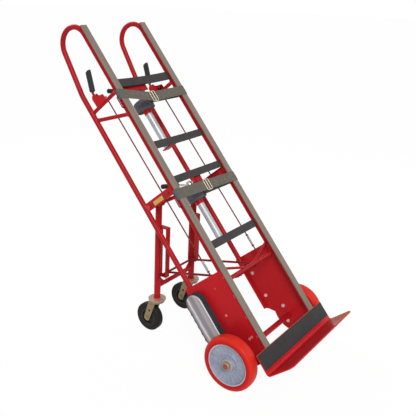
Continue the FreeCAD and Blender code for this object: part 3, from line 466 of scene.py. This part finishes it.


# worn, glintPale and left are pale pinks standing for a painted highlight on red heads
heads = {"stain": (120, 4, 0.6), "rough": 0.34, "roughSpan": 0.2,
         "cap": (150, 126, 106), "capMiddle": (132, 68, 50), "capRamp": (0.0135, 0.0165), "capStray": 0.004,
         "capX": (0.336, 0.340), "capMetal": 0.35,
         "worn": (206, 150, 146), "glintPale": (222, 196, 192), "glintRamp": (0.4, 0.65),
         "left": (204, 104, 100), "leftX": (-0.1, 0.1), "high": (172, 34, 40), "highRamp": (0.400, 0.405),
         "stop": (58, 40, 40), "shaft": (170, 22, 30), "shaftDepth": (0.10, 0.12),
         "shaftHeight": (0.70, 0.72)}


def fastenerMetal(name):
    # tan axle caps with a rusty middle, red heads on the shaft, dark stop bolts,
    # pale pink heads low on the plates and redder ones on the left: red heads with a painted highlight
    t = heads
    f = surface(name)
    x, d, h = f.upright()
    stain = f.noise(*t["stain"])
    middle = f.ramp(f.fromAxle() + t["capStray"] * stain, *t["capRamp"])
    cap = f.mix(middle, rgb(*t["capMiddle"]), rgb(*t["cap"]))
    # pale pink heads: a painted highlight
    head = f.mix(f.ramp(stain, *t["glintRamp"]), rgb(*t["worn"]), rgb(*t["glintPale"]))
    head = f.mix(f.ramp(x, *t["leftX"]), rgb(*t["left"]), head)
    head = f.mix(f.ramp(h, *t["highRamp"]), head, rgb(*t["high"]))
    shaft = f.mix(f.ramp(d, *t["shaftDepth"]), rgb(*t["stop"]), rgb(*t["shaft"]))
    base = f.mix(f.ramp(h, *t["shaftHeight"]), head, shaft)
    outer = f.ramp(abs(x), *t["capX"])
    return f.shade(Base_Color=f.mix(outer, base, cap), Metallic=t["capMetal"] * outer,
                   Roughness=t["rough"] + t["roughSpan"] * stain)


# a band is (place across the cover, tone) in a painted reflection; the rim and rear ramps count from the rim
cover = {"depth": 0.213, "middle": 0.319, "half": 0.081, "rim": 0.0455,
         "bands": ((0.0, (140, 134, 138)), (0.22, (160, 156, 160)), (0.42, (118, 111, 113)),
                   (0.60, (132, 126, 130)), (0.72, (210, 208, 214)), (0.82, (138, 132, 138)),
                   (1.0, (96, 92, 98))),
         "bandStray": 0.010, "streak": 210, "stretch": (1, 1, 0.05), "streakRamp": (0.40, 0.7),
         "streakShare": 0.35, "streakTone": (164, 158, 160), "stain": (34, 4, 0.6), "stainRamp": (0.60, 0.8),
         "stainShare": 0.4, "stainTone": (136, 112, 108), "rimRamp": (-0.0015, 0.0005), "rimHighlightShare": 0.8,
         "rimHighlightTone": (206, 204, 206), "rearRamp": (-0.0110, -0.0070), "rearFall": 6, "rearShare": 0.9,
         "rearTone": (46, 44, 48), "rearRough": 0.4, "metal": 0.30, "rough": 0.36, "roughSpan": 0.2,
         "bump": (0.0002, 0.4)}


def brushedCover(name):
    # painted reflection in light and dark grey bands down the cover, fine streaks, a few stains,
    # a rim with a painted highlight ahead and dark behind
    c = cover
    f = surface(name)
    _, d, h = f.upright()
    streak = f.streaks(c["streak"], c["stretch"])
    stain = f.noise(*c["stain"])
    d = d - c["depth"]
    past = (abs(h - c["middle"]) - c["half"]).atLeast(0.0)
    out = distance(d, past) - c["rim"]
    across = f.ramp(d + c["bandStray"] * (stain - 0.5), -c["rim"], c["rim"])
    rear = f.ramp(out, *c["rearRamp"]) * across ** c["rearFall"]
    # pale rim ahead: a painted highlight
    rim = f.ramp(out, *c["rimRamp"]) * (1 - across)
    # bands of painted reflection across the cover
    bands = [(at, rgb(*tone)) for at, tone in c["bands"]]
    base = f.node("ShaderNodeValToRGB", {"stops": bands}, {0: across})
    base = f.mix(f.ramp(streak, *c["streakRamp"]) * c["streakShare"], base, rgb(*c["streakTone"]))
    base = f.mix(f.ramp(stain, *c["stainRamp"]) * c["stainShare"], base, rgb(*c["stainTone"]))
    base = f.mix(rim * c["rimHighlightShare"], base, rgb(*c["rimHighlightTone"]))
    base = f.mix(rear * c["rearShare"], base, rgb(*c["rearTone"]))
    return f.shade(Base_Color=base, Metallic=c["metal"] - c["metal"] * rear,
                   Roughness=c["rough"] + c["roughSpan"] * streak + c["rearRough"] * rear,
                   Normal=f.bump(streak, *c["bump"]))


plate = {"middle": 0.134, "half": 0.045, "gold": (208, 170, 88), "deep": (178, 138, 66),
         "cloud": (60, 4, 0.6), "cloudRamp": (0.3, 0.75), "endRamp": (-0.012, -0.009),
         "endTone": (74, 52, 40), "metal": 0.4, "rough": 0.38, "roughSpan": 0.2, "bump": (0.0002, 0.4)}


def goldPlate(name):
    # bare gold sheet that darkens at both ends
    f = surface(name)
    _, d, _ = f.upright()
    cloud = f.noise(*plate["cloud"])
    base = f.mix(f.ramp(cloud, *plate["cloudRamp"]), rgb(*plate["gold"]), rgb(*plate["deep"]))
    ends = f.ramp(abs(d - plate["middle"]) - plate["half"], *plate["endRamp"])
    return f.shade(Base_Color=f.mix(ends, base, rgb(*plate["endTone"])), Metallic=plate["metal"],
                   Roughness=plate["rough"] + plate["roughSpan"] * cloud,
                   Normal=f.bump(cloud, *plate["bump"]))


tubeRed = enamel("tubeRed", (164, 22, 27), (149, 16, 22), 0.36, 0.09)
plateRed = enamel("plateRed", (180, 27, 33), (166, 21, 28), 0.27)
# the brace link's darker red is a painted shade of the frame red
shadedRed = enamel("shadedRed", (126, 20, 27), (108, 15, 22), 0.34)
# paler red on the weld beads: weld red with a painted glint
weldGlintRed = enamel("weldGlintRed", (206, 74, 78), (180, 40, 46), 0.25)
noseRed = nosePaint("noseRed")
stripFacing = dullFacing("stripFacing")
padRubber = rubber("padRubber", (55, 52, 53), (70, 66, 67), 0.58, 700, 0.0003)
noseFace = rubber("noseFace", (46, 47, 48), (60, 59, 60), 0.5, 800, 0.0002)
gripRubber = rubber("gripRubber", (40, 40, 43), (58, 58, 62), 0.42, 900, 0.0002)
beltRubber = rubber("beltRubber", (46, 50, 54), (62, 66, 72), 0.85, 600, 0.0004)
shoePlastic = rubber("shoePlastic", (66, 66, 68), (84, 84, 86), 0.5, 500, 0.0002)
casterTread = rubber("casterTread", (22, 21, 20), (40, 38, 36), 0.48, 500, 0.0003)
casterCore = rubber("casterCore", (32, 31, 30), (54, 52, 48), 0.4, 300, 0.0002)
maroonWire = rubber("maroonWire", (116, 30, 38), (96, 26, 34), 0.4, 500, 0.0001)
greyStrap = webbing("greyStrap", (86, 83, 75), (110, 105, 95), 0.020)
slateRoll = webbing("slateRoll", (84, 86, 94), (114, 116, 124), -1.0)  # no lapped end
orangeTread = treadRubber("orangeTread")
hubMould = mouldedHub("hubMould")
plateHeads = fastenerMetal("plateHeads")
brightSteel = plated("brightSteel", (214, 214, 216), (184, 184, 188), 0.24)
barrelSteel = plated("barrelSteel", (176, 180, 182), (154, 159, 161), 0.42, 0.6, (1, 1, 0.1))
buckleSteel = plated("buckleSteel", (204, 194, 172), (178, 166, 144), 0.34, 0.5)
raceSteel = plated("raceSteel", (164, 146, 128), (142, 124, 106), 0.44, 0.4)
tanZinc = plated("tanZinc", (144, 125, 94), (120, 101, 74), 0.46, 0.4)
springSteel = plated("springSteel", (196, 196, 200), (170, 170, 176), 0.36, 0.5)
coverMetal = brushedCover("coverMetal")
goldLabel = goldPlate("goldLabel")

# what isn't listed is painted like the tubes
nodeFinish = {
    "left_rail_strip": stripFacing, "right_rail_strip": stripFacing, "crossbar_pads": padRubber,
    "climber_belts": beltRubber, "climber_shoes": shoePlastic, "climber_covers": coverMetal,
    "label_plate": goldLabel, "frame_fasteners": plateHeads, "winder_barrels": barrelSteel,
    "upper_spool": brightSteel, "lower_spool": brightSteel, "upper_ratchet_handle": brightSteel,
    "lower_ratchet_handle": brightSteel, "strap_buckles": buckleSteel, "wire_guides": maroonWire,
    "brake_cables": maroonWire, "cable_springs": springSteel, "caster_plates": raceSteel,
    "left_caster_fork": tanZinc, "right_caster_fork": tanZinc, "left_caster_tyre": casterTread,
    "right_caster_tyre": casterTread, "left_caster_hub": casterCore, "right_caster_hub": casterCore,
    "nose_plate": noseRed, "brace_link": shadedRed, "left_side_plate": plateRed, "right_side_plate": plateRed,
    "left_pivot_plate": plateRed, "right_pivot_plate": plateRed, "winder_collars": plateRed,
    "lever_brackets": plateRed,
}
for nodeName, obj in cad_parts.items():
    obj.data.materials.clear()
    obj.data.materials.append(nodeFinish.get(nodeName, tubeRed))
print("finishes on", len(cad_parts), "frame pieces")


# straps lapped over the left rail, dipped at the buckle, then back and in to their rolls
strap = {"width": 0.050, "thick": 0.0024, "side": 0.23005, "front": -0.00155, "lap": 0.017, "corner": 0.005,
         "back": 0.04875, "endX": 0.006, "step": 0.004, "soften": 9, "square": 6, "round": 20,
         "behind": 0.01, "lapX": -0.2}
straps = {"upper": {"low": 1.33494, "rise": 0.042, "buckle": -0.026, "dip": -0.005, "turn": 0.012},
          "lower": {"low": 0.82201, "rise": 0.020, "buckle": -0.009, "dip": 0.0096, "turn": 0.005}}


def strapLift(s, path):
    # height over the roll: from the lap down to the buckle, on to the right rail and up as it turns back
    side, soften = strap["side"], strap["soften"]
    lift = np.interp(path[:, 0], [-side, s["buckle"], side], [s["rise"], s["dip"], 0])
    lift = np.where((path[:, 1] > strap["behind"]) & (path[:, 0] > strap["lapX"]), s["turn"], lift)
    return np.convolve(np.pad(lift, soften // 2, mode="edge"), np.ones(soften) / soften, "valid")


def strapBand(s):
    # webbing section carried along the route of the strap
    side, back = strap["side"], strap["back"]
    corners = [(-side, strap["lap"]), (-side, strap["front"]), (side, strap["front"]), (side, back),
               (strap["endX"], back)]
    path = softRun(corners, strap["corner"], strap["step"])
    tangent = unit(np.gradient(path, axis=0))
    spine = np.column_stack([path, s["low"] + strap["width"] / 2 + strapLift(s, path)])
    none = np.zeros(len(path))
    normal = np.column_stack([tangent[:, 1], -tangent[:, 0], none])
    profile = roundProfile(strap["thick"], strap["width"], strap["square"], strap["round"])
    points = carried(spine, normal, np.column_stack([none, none, none + 1]), profile)
    return capped(leaned(points), uvOf(lengths(path), profile[:, 1]))


for name, s in straps.items():
    piece(name + "StrapBand", [strapBand(s)], "frame", greyStrap, [name + "_strap"])
print("straps laid")


# rolls of webbing on the spools
roll = {"depth": 0.100, "inner": 0.0149, "pitch": 0.00315, "turns": 10, "perTurn": 72, "round": 12,
        "uneven": 0.0012, "slow": 2.3, "quick": 5.1, "quickShare": 0.6, "quickStart": 1}


def rollBand(s):
    # spiral r = inner + pitch * turn, each turn a little higher or lower than the last
    angle = np.linspace(0, 2 * np.pi * roll["turns"], roll["turns"] * roll["perTurn"] + 1)
    turn = angle / (2 * np.pi)
    r = roll["inner"] + strap["thick"] / 2 + roll["pitch"] * turn
    quick = roll["quickShare"] * np.sin(turn * roll["quick"] + roll["quickStart"])
    shift = roll["uneven"] * (np.sin(turn * roll["slow"]) + quick)
    none = np.zeros(len(angle))
    side = np.column_stack([np.cos(angle), np.sin(angle), none])
    middle = np.column_stack([none, none + roll["depth"], s["low"] + strap["width"] / 2 + shift])
    spine = side * r[:, None] + middle
    profile = roundProfile(strap["thick"], strap["width"], strap["square"], roll["round"])
    points = carried(spine, side, np.column_stack([none, none, none + 1]), profile)
    return capped(leaned(points), uvOf(lengths(spine), profile[:, 1]))


for name, s in straps.items():
    piece(name + "StrapRoll", [rollBand(s)], name + "_winder", slateRoll, [name + "_webbing_roll"])
print("strap rolls wound")


# moulded sleeves on the brake levers; foot and tip are (depth, height)
leverGrip = {"foot": (0.1617, 1.510), "tip": (0.1197, 1.6052), "wide": 0.029, "thick": 0.026, "rings": 64,
             "round": 32, "square": 24, "collar": 0.06, "collarAt": 0.03, "fingers": 4, "scallop": 0.0016,
             "fingersFrom": 0.08, "fingersSpan": 0.84, "slant": 0.55, "slantFrom": 0.7, "longest": 1.03}


def gripSleeve(sign):
    # oval section along the lever, waisted by finger scallops on its rear edge, with a slanted tip
    g = leverGrip
    foot = np.array([sign * lay["railX"], *g["foot"]])
    tip = np.array([sign * lay["railX"], *g["tip"]])
    way, length = unit(tip - foot), np.linalg.norm(tip - foot)
    side = np.array([1.0, 0, 0])
    aft = np.cross(way, side)
    s = np.linspace(0, 1, g["rings"])
    v = circle(g["round"])
    collar = 1 + g["collar"] * np.exp(-((s - g["collarAt"]) / g["collarAt"]) ** 2)
    ends = blunt(2 * s - 1, g["square"]) * collar
    finger = np.clip((s - g["fingersFrom"]) / g["fingersSpan"], 0, 1) * g["fingers"]
    dent = g["scallop"] * (0.5 - 0.5 * np.cos(2 * np.pi * finger))
    c, q = np.cos(v)[None], np.sin(v)[None]
    across = g["thick"] / 2 * ends[:, None] * c
    along = (g["wide"] / 2 * ends[:, None] - dent[:, None] * np.clip(q, 0, 1)) * q
    slanted = np.clip((s[:, None] - g["slantFrom"]) / (1 - g["slantFrom"]), 0, 1)
    climb = np.clip(s[:, None] * length - g["slant"] * along * slanted, 0, length * g["longest"])
    points = foot + across[..., None] * side + along[..., None] * aft + climb[..., None] * way
    return leaned(points), uvOf(s * length, v), False, True


for name, sign in (("left", -1), ("right", 1)):
    piece(name + "GripSleeve", [gripSleeve(sign)], name + "_lever", gripRubber,
          [name + "_lever_grip"])

# grooved sleeves on the ratchet handles, upper and lower given by the two ends of the handle
handGrip = {"radius": 0.0125, "length": 0.095, "rings": 70, "round": 28, "square": 16, "waist": 0.08,
            "bands": 9, "groove": 0.0008, "grooveFrom": 0.72, "grooved": 0.4,
            "upper": ((0, 0.100, 1.43854), (-0.060, 0.210, 1.52894)),
            "lower": ((0, 0.100, 0.90861), (-0.060, 0.215, 0.97201))}


def handSleeve(start, end):
    # turned sleeve with shallow grooves: r = radius * end rounding - groove bands
    g = handGrip
    start, end = np.array(start), np.array(end)
    way = unit(end - start)
    side = unit(np.cross(way, [0, 0, 1.0]))
    s = np.linspace(0, 1, g["rings"])
    v = circle(g["round"])
    r = g["radius"] * blunt(2 * s - 1, g["square"]) * (1 - g["waist"] * np.sin(np.pi * s))
    cut = (np.cos(2 * np.pi * g["bands"] * s) > g["grooveFrom"]) * (np.abs(s - 0.5) < g["grooved"])
    r = np.clip(r - g["groove"] * cut, 0, None)
    spine = end - way * g["length"] * (1 - s)[:, None]
    ring = np.cos(v)[:, None] * side + np.sin(v)[:, None] * np.cross(side, way)
    points = spine[:, None] + r[:, None, None] * ring[None]
    return leaned(points), uvOf(s * g["length"], v), False, True


for name in ("upper", "lower"):
    piece(name + "HandSleeve", [handSleeve(*handGrip[name])], name + "_handle", gripRubber,
          [name + "_ratchet_grip"])
print("grips fitted")


# ribbed rubber on the nose
noseRubber = {"half": 0.303, "low": 0.0226, "high": 0.0933, "thick": 0.0064, "lip": 40, "ribs": 11,
              "rib": 0.0005, "ribbed": 0.46, "steps": 90, "columns": 60, "square": 160, "least": 0.02}


def ribbedFace():
    # section in depth and height carried across x: flat back, rounded lips, fine ribs on the face
    n = noseRubber
    h = np.linspace(n["low"], n["high"], n["steps"])
    t = (h - n["low"]) / (n["high"] - n["low"])
    rib = n["rib"] * (0.5 + 0.5 * np.cos(2 * np.pi * n["ribs"] * t)) * (np.abs(t - 0.5) < n["ribbed"])
    front = np.column_stack([rib - n["thick"] * blunt(2 * t - 1, n["lip"]), h])
    section = np.concatenate([front, [[0, n["high"]], [0, n["low"]]]])
    x = np.linspace(-n["half"], n["half"], n["columns"])
    pull = np.sqrt(np.clip(1 - np.abs(x / n["half"]) ** n["square"], n["least"], 1))
    points = np.stack([x[:, None] + 0 * section[None, :, 0], section[None, :, 0] * pull[:, None],
                       0 * x[:, None] + section[None, :, 1]], -1)
    return capped(leaned(points), uvOf(x, section[:, 1]))


piece("noseRibbedFace", [ribbedFace()], "frame", noseFace, ["nose_rubber"])
print("nose faced")


# main wheels: cushion tyres on ribbed hubs
wheel = {"middle": 0.31325, "around": 144}
tyre = {"radius": 0.127, "bead": 0.098, "width": 0.0635, "shoulder": 3.2, "round": 72, "mould": 0.0003,
        "mouldWide": 0.0012, "mouldFrom": 0.9}
hub = {"bore": 0.00955, "boss": 0.029, "rim": 0.092, "face": 0.028, "dish": 0.012, "around": 288,
       "bossRings": 8, "dishRings": 40, "rimRings": 10, "step": 0.0005, "slope": 0.004, "bossRise": 0.003,
       "ring": 0.046, "ringRise": 0.004, "ringWide": 0.004, "beadDrop": 0.002, "ribs": 20, "rib": 0.0020,
       "ribSteep": 2, "ribFrom": 0.8}


def aboutAxle(sign, x, r, a):
    # x along the axle and distance r from it, turned through the angles a
    return np.stack([sign * wheel["middle"] + x + 0 * r, axleY + np.cos(a)[:, None] * r,
                     axleZ + np.sin(a)[:, None] * r], -1)


def tyreSkin(sign):
    # superellipse section between bead and tread, turned about the axle, with a fine mould line
    t = circle(tyre["round"])
    x, out = superellipse(t, tyre["shoulder"])
    x = tyre["width"] / 2 * x
    r = tyre["bead"] + (tyre["radius"] - tyre["bead"]) * np.clip(out, 0, 1)
    onTread = np.sin(t) > tyre["mouldFrom"]
    r = r - tyre["mould"] * onTread * (1 - np.exp(-(x / tyre["mouldWide"]) ** 2))
    a = circle(wheel["around"])
    skin = aboutAxle(sign, x[None] + 0 * a[:, None], r[None] + 0 * a[:, None], a)
    return skin, uvOf(a * tyre["radius"], t), True, True


def hubDish(sign):
    # closed section: boss, dish with radial ribs, ring and rim on one face and the same on the other
    w = hub
    r = np.concatenate([np.linspace(w["bore"], w["boss"], w["bossRings"]),
                        np.linspace(w["boss"] + w["step"], w["rim"] - w["step"], w["dishRings"]),
                        np.linspace(w["rim"], tyre["bead"], w["rimRings"])])
    a = circle(w["around"])
    deep = np.clip((r - w["boss"]) / w["slope"], 0, 1) * np.clip((w["rim"] - r) / w["slope"], 0, 1)
    deep = deep * deep * (3 - 2 * deep)
    ring = w["ringRise"] * np.exp(-((r - w["ring"]) / w["ringWide"]) ** 2)
    high = w["face"] - deep * w["dish"] + w["bossRise"] * (r < w["boss"]) + ring
    high[-1] = min(high[-1], w["face"] - w["beadDrop"])
    rib = np.clip(np.cos(a * w["ribs"])[:, None] * w["ribSteep"] - w["ribFrom"], 0, 1)
    x = high[None] + w["rib"] * deep[None] * rib
    x, r = np.concatenate([x, -x[:, ::-1]], 1), np.concatenate([r, r[::-1]])
    return aboutAxle(sign, x, r[None] + 0 * a[:, None], a), uvOf(a, r), True, True


for name, sign in (("left", -1), ("right", 1)):
    piece(name + "TyreSkin", [tyreSkin(sign)], name + "_wheel", orangeTread, [name + "_tyre"])
    piece(name + "HubDish", [hubDish(sign)], name + "_wheel", hubMould, [name + "_hub"])
print("wheels turned")


# weld beads where struts, plates and casters join; runs are the heights of the beads on the side plates,
# and aside is a direction that no bead runs along
weld = {"radius": 0.0022, "pitch": 0.0036, "perPitch": 4, "sides": 10, "ripple": 0.22, "ringPoints": 60,
        "linePoints": 12, "aside": (0.13, 0.31, 0.94), "ringAside": (0.2, 0.3, 0.9)}
joins = {"tube": 0.0127, "sink": 0.001, "strut": 0.0095, "strutGap": 0.0006, "front": 0.0247, "rear": 0.233,
         "strutHeight": 1.430, "braceRear": 1.392, "braceFront": 1.303, "plateX": 0.2278,
         "plateFront": 0.0125, "pivotX": 0.2137, "pivotLow": 0.884, "pivotHigh": 0.918, "legX": 0.142,
         "leg": 0.016, "legGap": 0.001, "legLift": 0.0005,
         "runs": ((0.148, 0.160), (0.241, 0.254), (0.342, 0.360), (0.440, 0.452))}


def beadAlong(path):
    # round bead whose radius ripples along its length: r = r0 * (1 + ripple * |sin|)
    dist = lengths(path)
    s = np.arange(0, dist[-1], weld["pitch"] / weld["perPitch"])
    line = np.column_stack([np.interp(s, dist, path[:, k]) for k in range(3)])
    tangent = unit(np.gradient(line, axis=0))
    side = unit(np.cross(tangent, weld["aside"]))
    v = circle(weld["sides"])
    r = weld["radius"] * (1 + weld["ripple"] * np.abs(np.sin(np.pi * s / weld["pitch"])))
    ring = carried(line, side, np.cross(side, tangent), np.column_stack([np.cos(v), np.sin(v)]))
    points = line[:, None] + r[:, None, None] * (ring - line[:, None])
    return capped(points, uvOf(s, v))


def ringAt(middle, way, radius):
    # circle of the given radius round a line
    side = unit(np.cross(way, weld["ringAside"]))
    a = np.linspace(0, 2 * np.pi, weld["ringPoints"])[:, None]
    return middle + radius * (np.cos(a) * side + np.sin(a) * np.cross(way, side))


def lineOf(a, b):
    # evenly spaced points from a to b
    return np.array(a) + (np.array(b) - np.array(a)) * np.linspace(0, 1, weld["linePoints"])[:, None]


frameBeads = []
for sign in (-1, 1):
    x = sign * lay["railX"]
    struts = [((x, joins["front"], joins["strutHeight"]), (x, joins["rear"], joins["strutHeight"]))]
    if sign < 0:
        struts.append(((x, joins["front"], joins["braceFront"]), (x, joins["rear"], joins["braceRear"])))
    for a, b in np.array(struts):
        inset = unit(b - a) * (joins["tube"] - joins["sink"])
        for middle in (a + inset, b - inset):
            ring = ringAt(middle, unit(b - a), joins["strut"] + joins["strutGap"])
            frameBeads.append(beadAlong(leaned(ring)))
    spot = (sign * joins["plateX"], joins["plateFront"])
    for low, high in joins["runs"]:
        frameBeads.append(beadAlong(leaned(lineOf((*spot, low), (*spot, high)))))
    for depth in (joins["front"] + joins["tube"], joins["rear"] - joins["tube"]):
        spot = (sign * joins["pivotX"], depth)
        frameBeads.append(beadAlong(leaned(lineOf((*spot, joins["pivotLow"]), (*spot, joins["pivotHigh"])))))
piece("frameWelds", frameBeads, "frame", weldGlintRed)

discLow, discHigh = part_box("caster_plates")
legFoot = np.array([0, (discLow.y + discHigh.y) / 2, discHigh.z + joins["legLift"]])
carriageBeads = []
for sign in (-1, 1):
    foot = legFoot + [sign * joins["legX"], 0, 0]
    carriageBeads.append(beadAlong(ringAt(foot, np.array([0, 0, 1.0]), joins["leg"] + joins["legGap"])))
piece("carriageWelds", carriageBeads, "carriage", weldGlintRed)
print("weld beads run")


# white floor that keeps a soft shadow, even studio light and the camera
stage = {"reach": 40.0, "pale": 0.9, "rough": 0.9, "white": 0.94, "ambient": 0.45}


def stageFinish(name):
    # pale floor that reads white to the camera but keeps a soft shadow
    f = surface(name)
    pale = stage["pale"]
    f.shade(Base_Color=(pale, pale, pale, 1), Roughness=stage["rough"], Specular_IOR_Level=0.0)
    white = f.node("ShaderNodeEmission", {}, {"Color": (1, 1, 1, 1), "Strength": 1.0})
    shaded = Wire(f, f.shader.outputs[0])
    both = f.node("ShaderNodeMixShader", {}, {0: f.seen() * stage["white"], 1: shaded, 2: white})
    f.feed(f.tree.nodes["Material Output"].inputs["Surface"], both)
    return f.owner


reach = stage["reach"]
floorMesh = bpy.data.meshes.new("floor")
floorCorners = [(-reach, -reach, 0), (reach, -reach, 0), (reach, reach, 0), (-reach, reach, 0)]
floorMesh.from_pydata(floorCorners, [], [(0, 1, 2, 3)])
floorMesh.materials.append(stageFinish("paleFloor"))
floor = bpy.data.objects.new("floor", floorMesh)
bpy.context.collection.objects.link(floor)

scene = bpy.context.scene
scene.world = bpy.data.worlds.new("studio")
sky = Finish(scene.world, "Background")
sky.shade(Color=(1, 1, 1, 1), Strength=sky.seen() * (1 - stage["ambient"]) + stage["ambient"])

# lamps as kind, place, size (an angle for the key) and power, all turned to the middle of the truck
lamps = {"key": ("SUN", (-2.6, -2.2, 3.6), 0.45, 2.3), "fill": ("AREA", (2.6, -2.8, 2.2), 2.4, 30),
         "rim": ("AREA", (0.6, 3.2, 3.2), 2.0, 45)}
aim = np.array([0, 0, 0.75])
for name, (kind, spot, size, power) in lamps.items():
    data = bpy.data.lights.new(name, kind)
    data.energy = power
    if kind == "SUN":
        data.angle = size
    else:
        data.shape, data.size = "DISK", size
    lamp = bpy.data.objects.new(name, data)
    lamp.location = spot
    back = unit(np.array(spot) - aim)
    lamp.rotation_euler = (math.acos(back[2]), 0, math.atan2(back[1], back[0]) + math.pi / 2)
    bpy.context.collection.objects.link(lamp)

# the camera is placed in the upright layout and leaned with the frame
shot = {"spot": (-2.3467, -1.81651, 0.51827), "ahead": (0.7751, 0.61889, 0.12719),
        "up": (0.22678, -0.46040, 0.85826), "lens": 54.47, "sensor": 36.0, "shift": (0.0299, -0.0642)}
camData = bpy.data.cameras.new("camera")
camData.sensor_width, camData.lens = shot["sensor"], shot["lens"]
camData.shift_x, camData.shift_y = shot["shift"]
camera = bpy.data.objects.new("camera", camData)
ahead = unit(turned(shot["ahead"]))
right = unit(np.cross(ahead, turned(shot["up"])))
camera.location = leaned(shot["spot"])
camera.rotation_euler = Matrix(np.column_stack([right, np.cross(right, ahead), -ahead]).tolist()).to_euler()
bpy.context.collection.objects.link(camera)
scene.camera = camera
scene.view_settings.view_transform = "Standard"
print("stage lit")
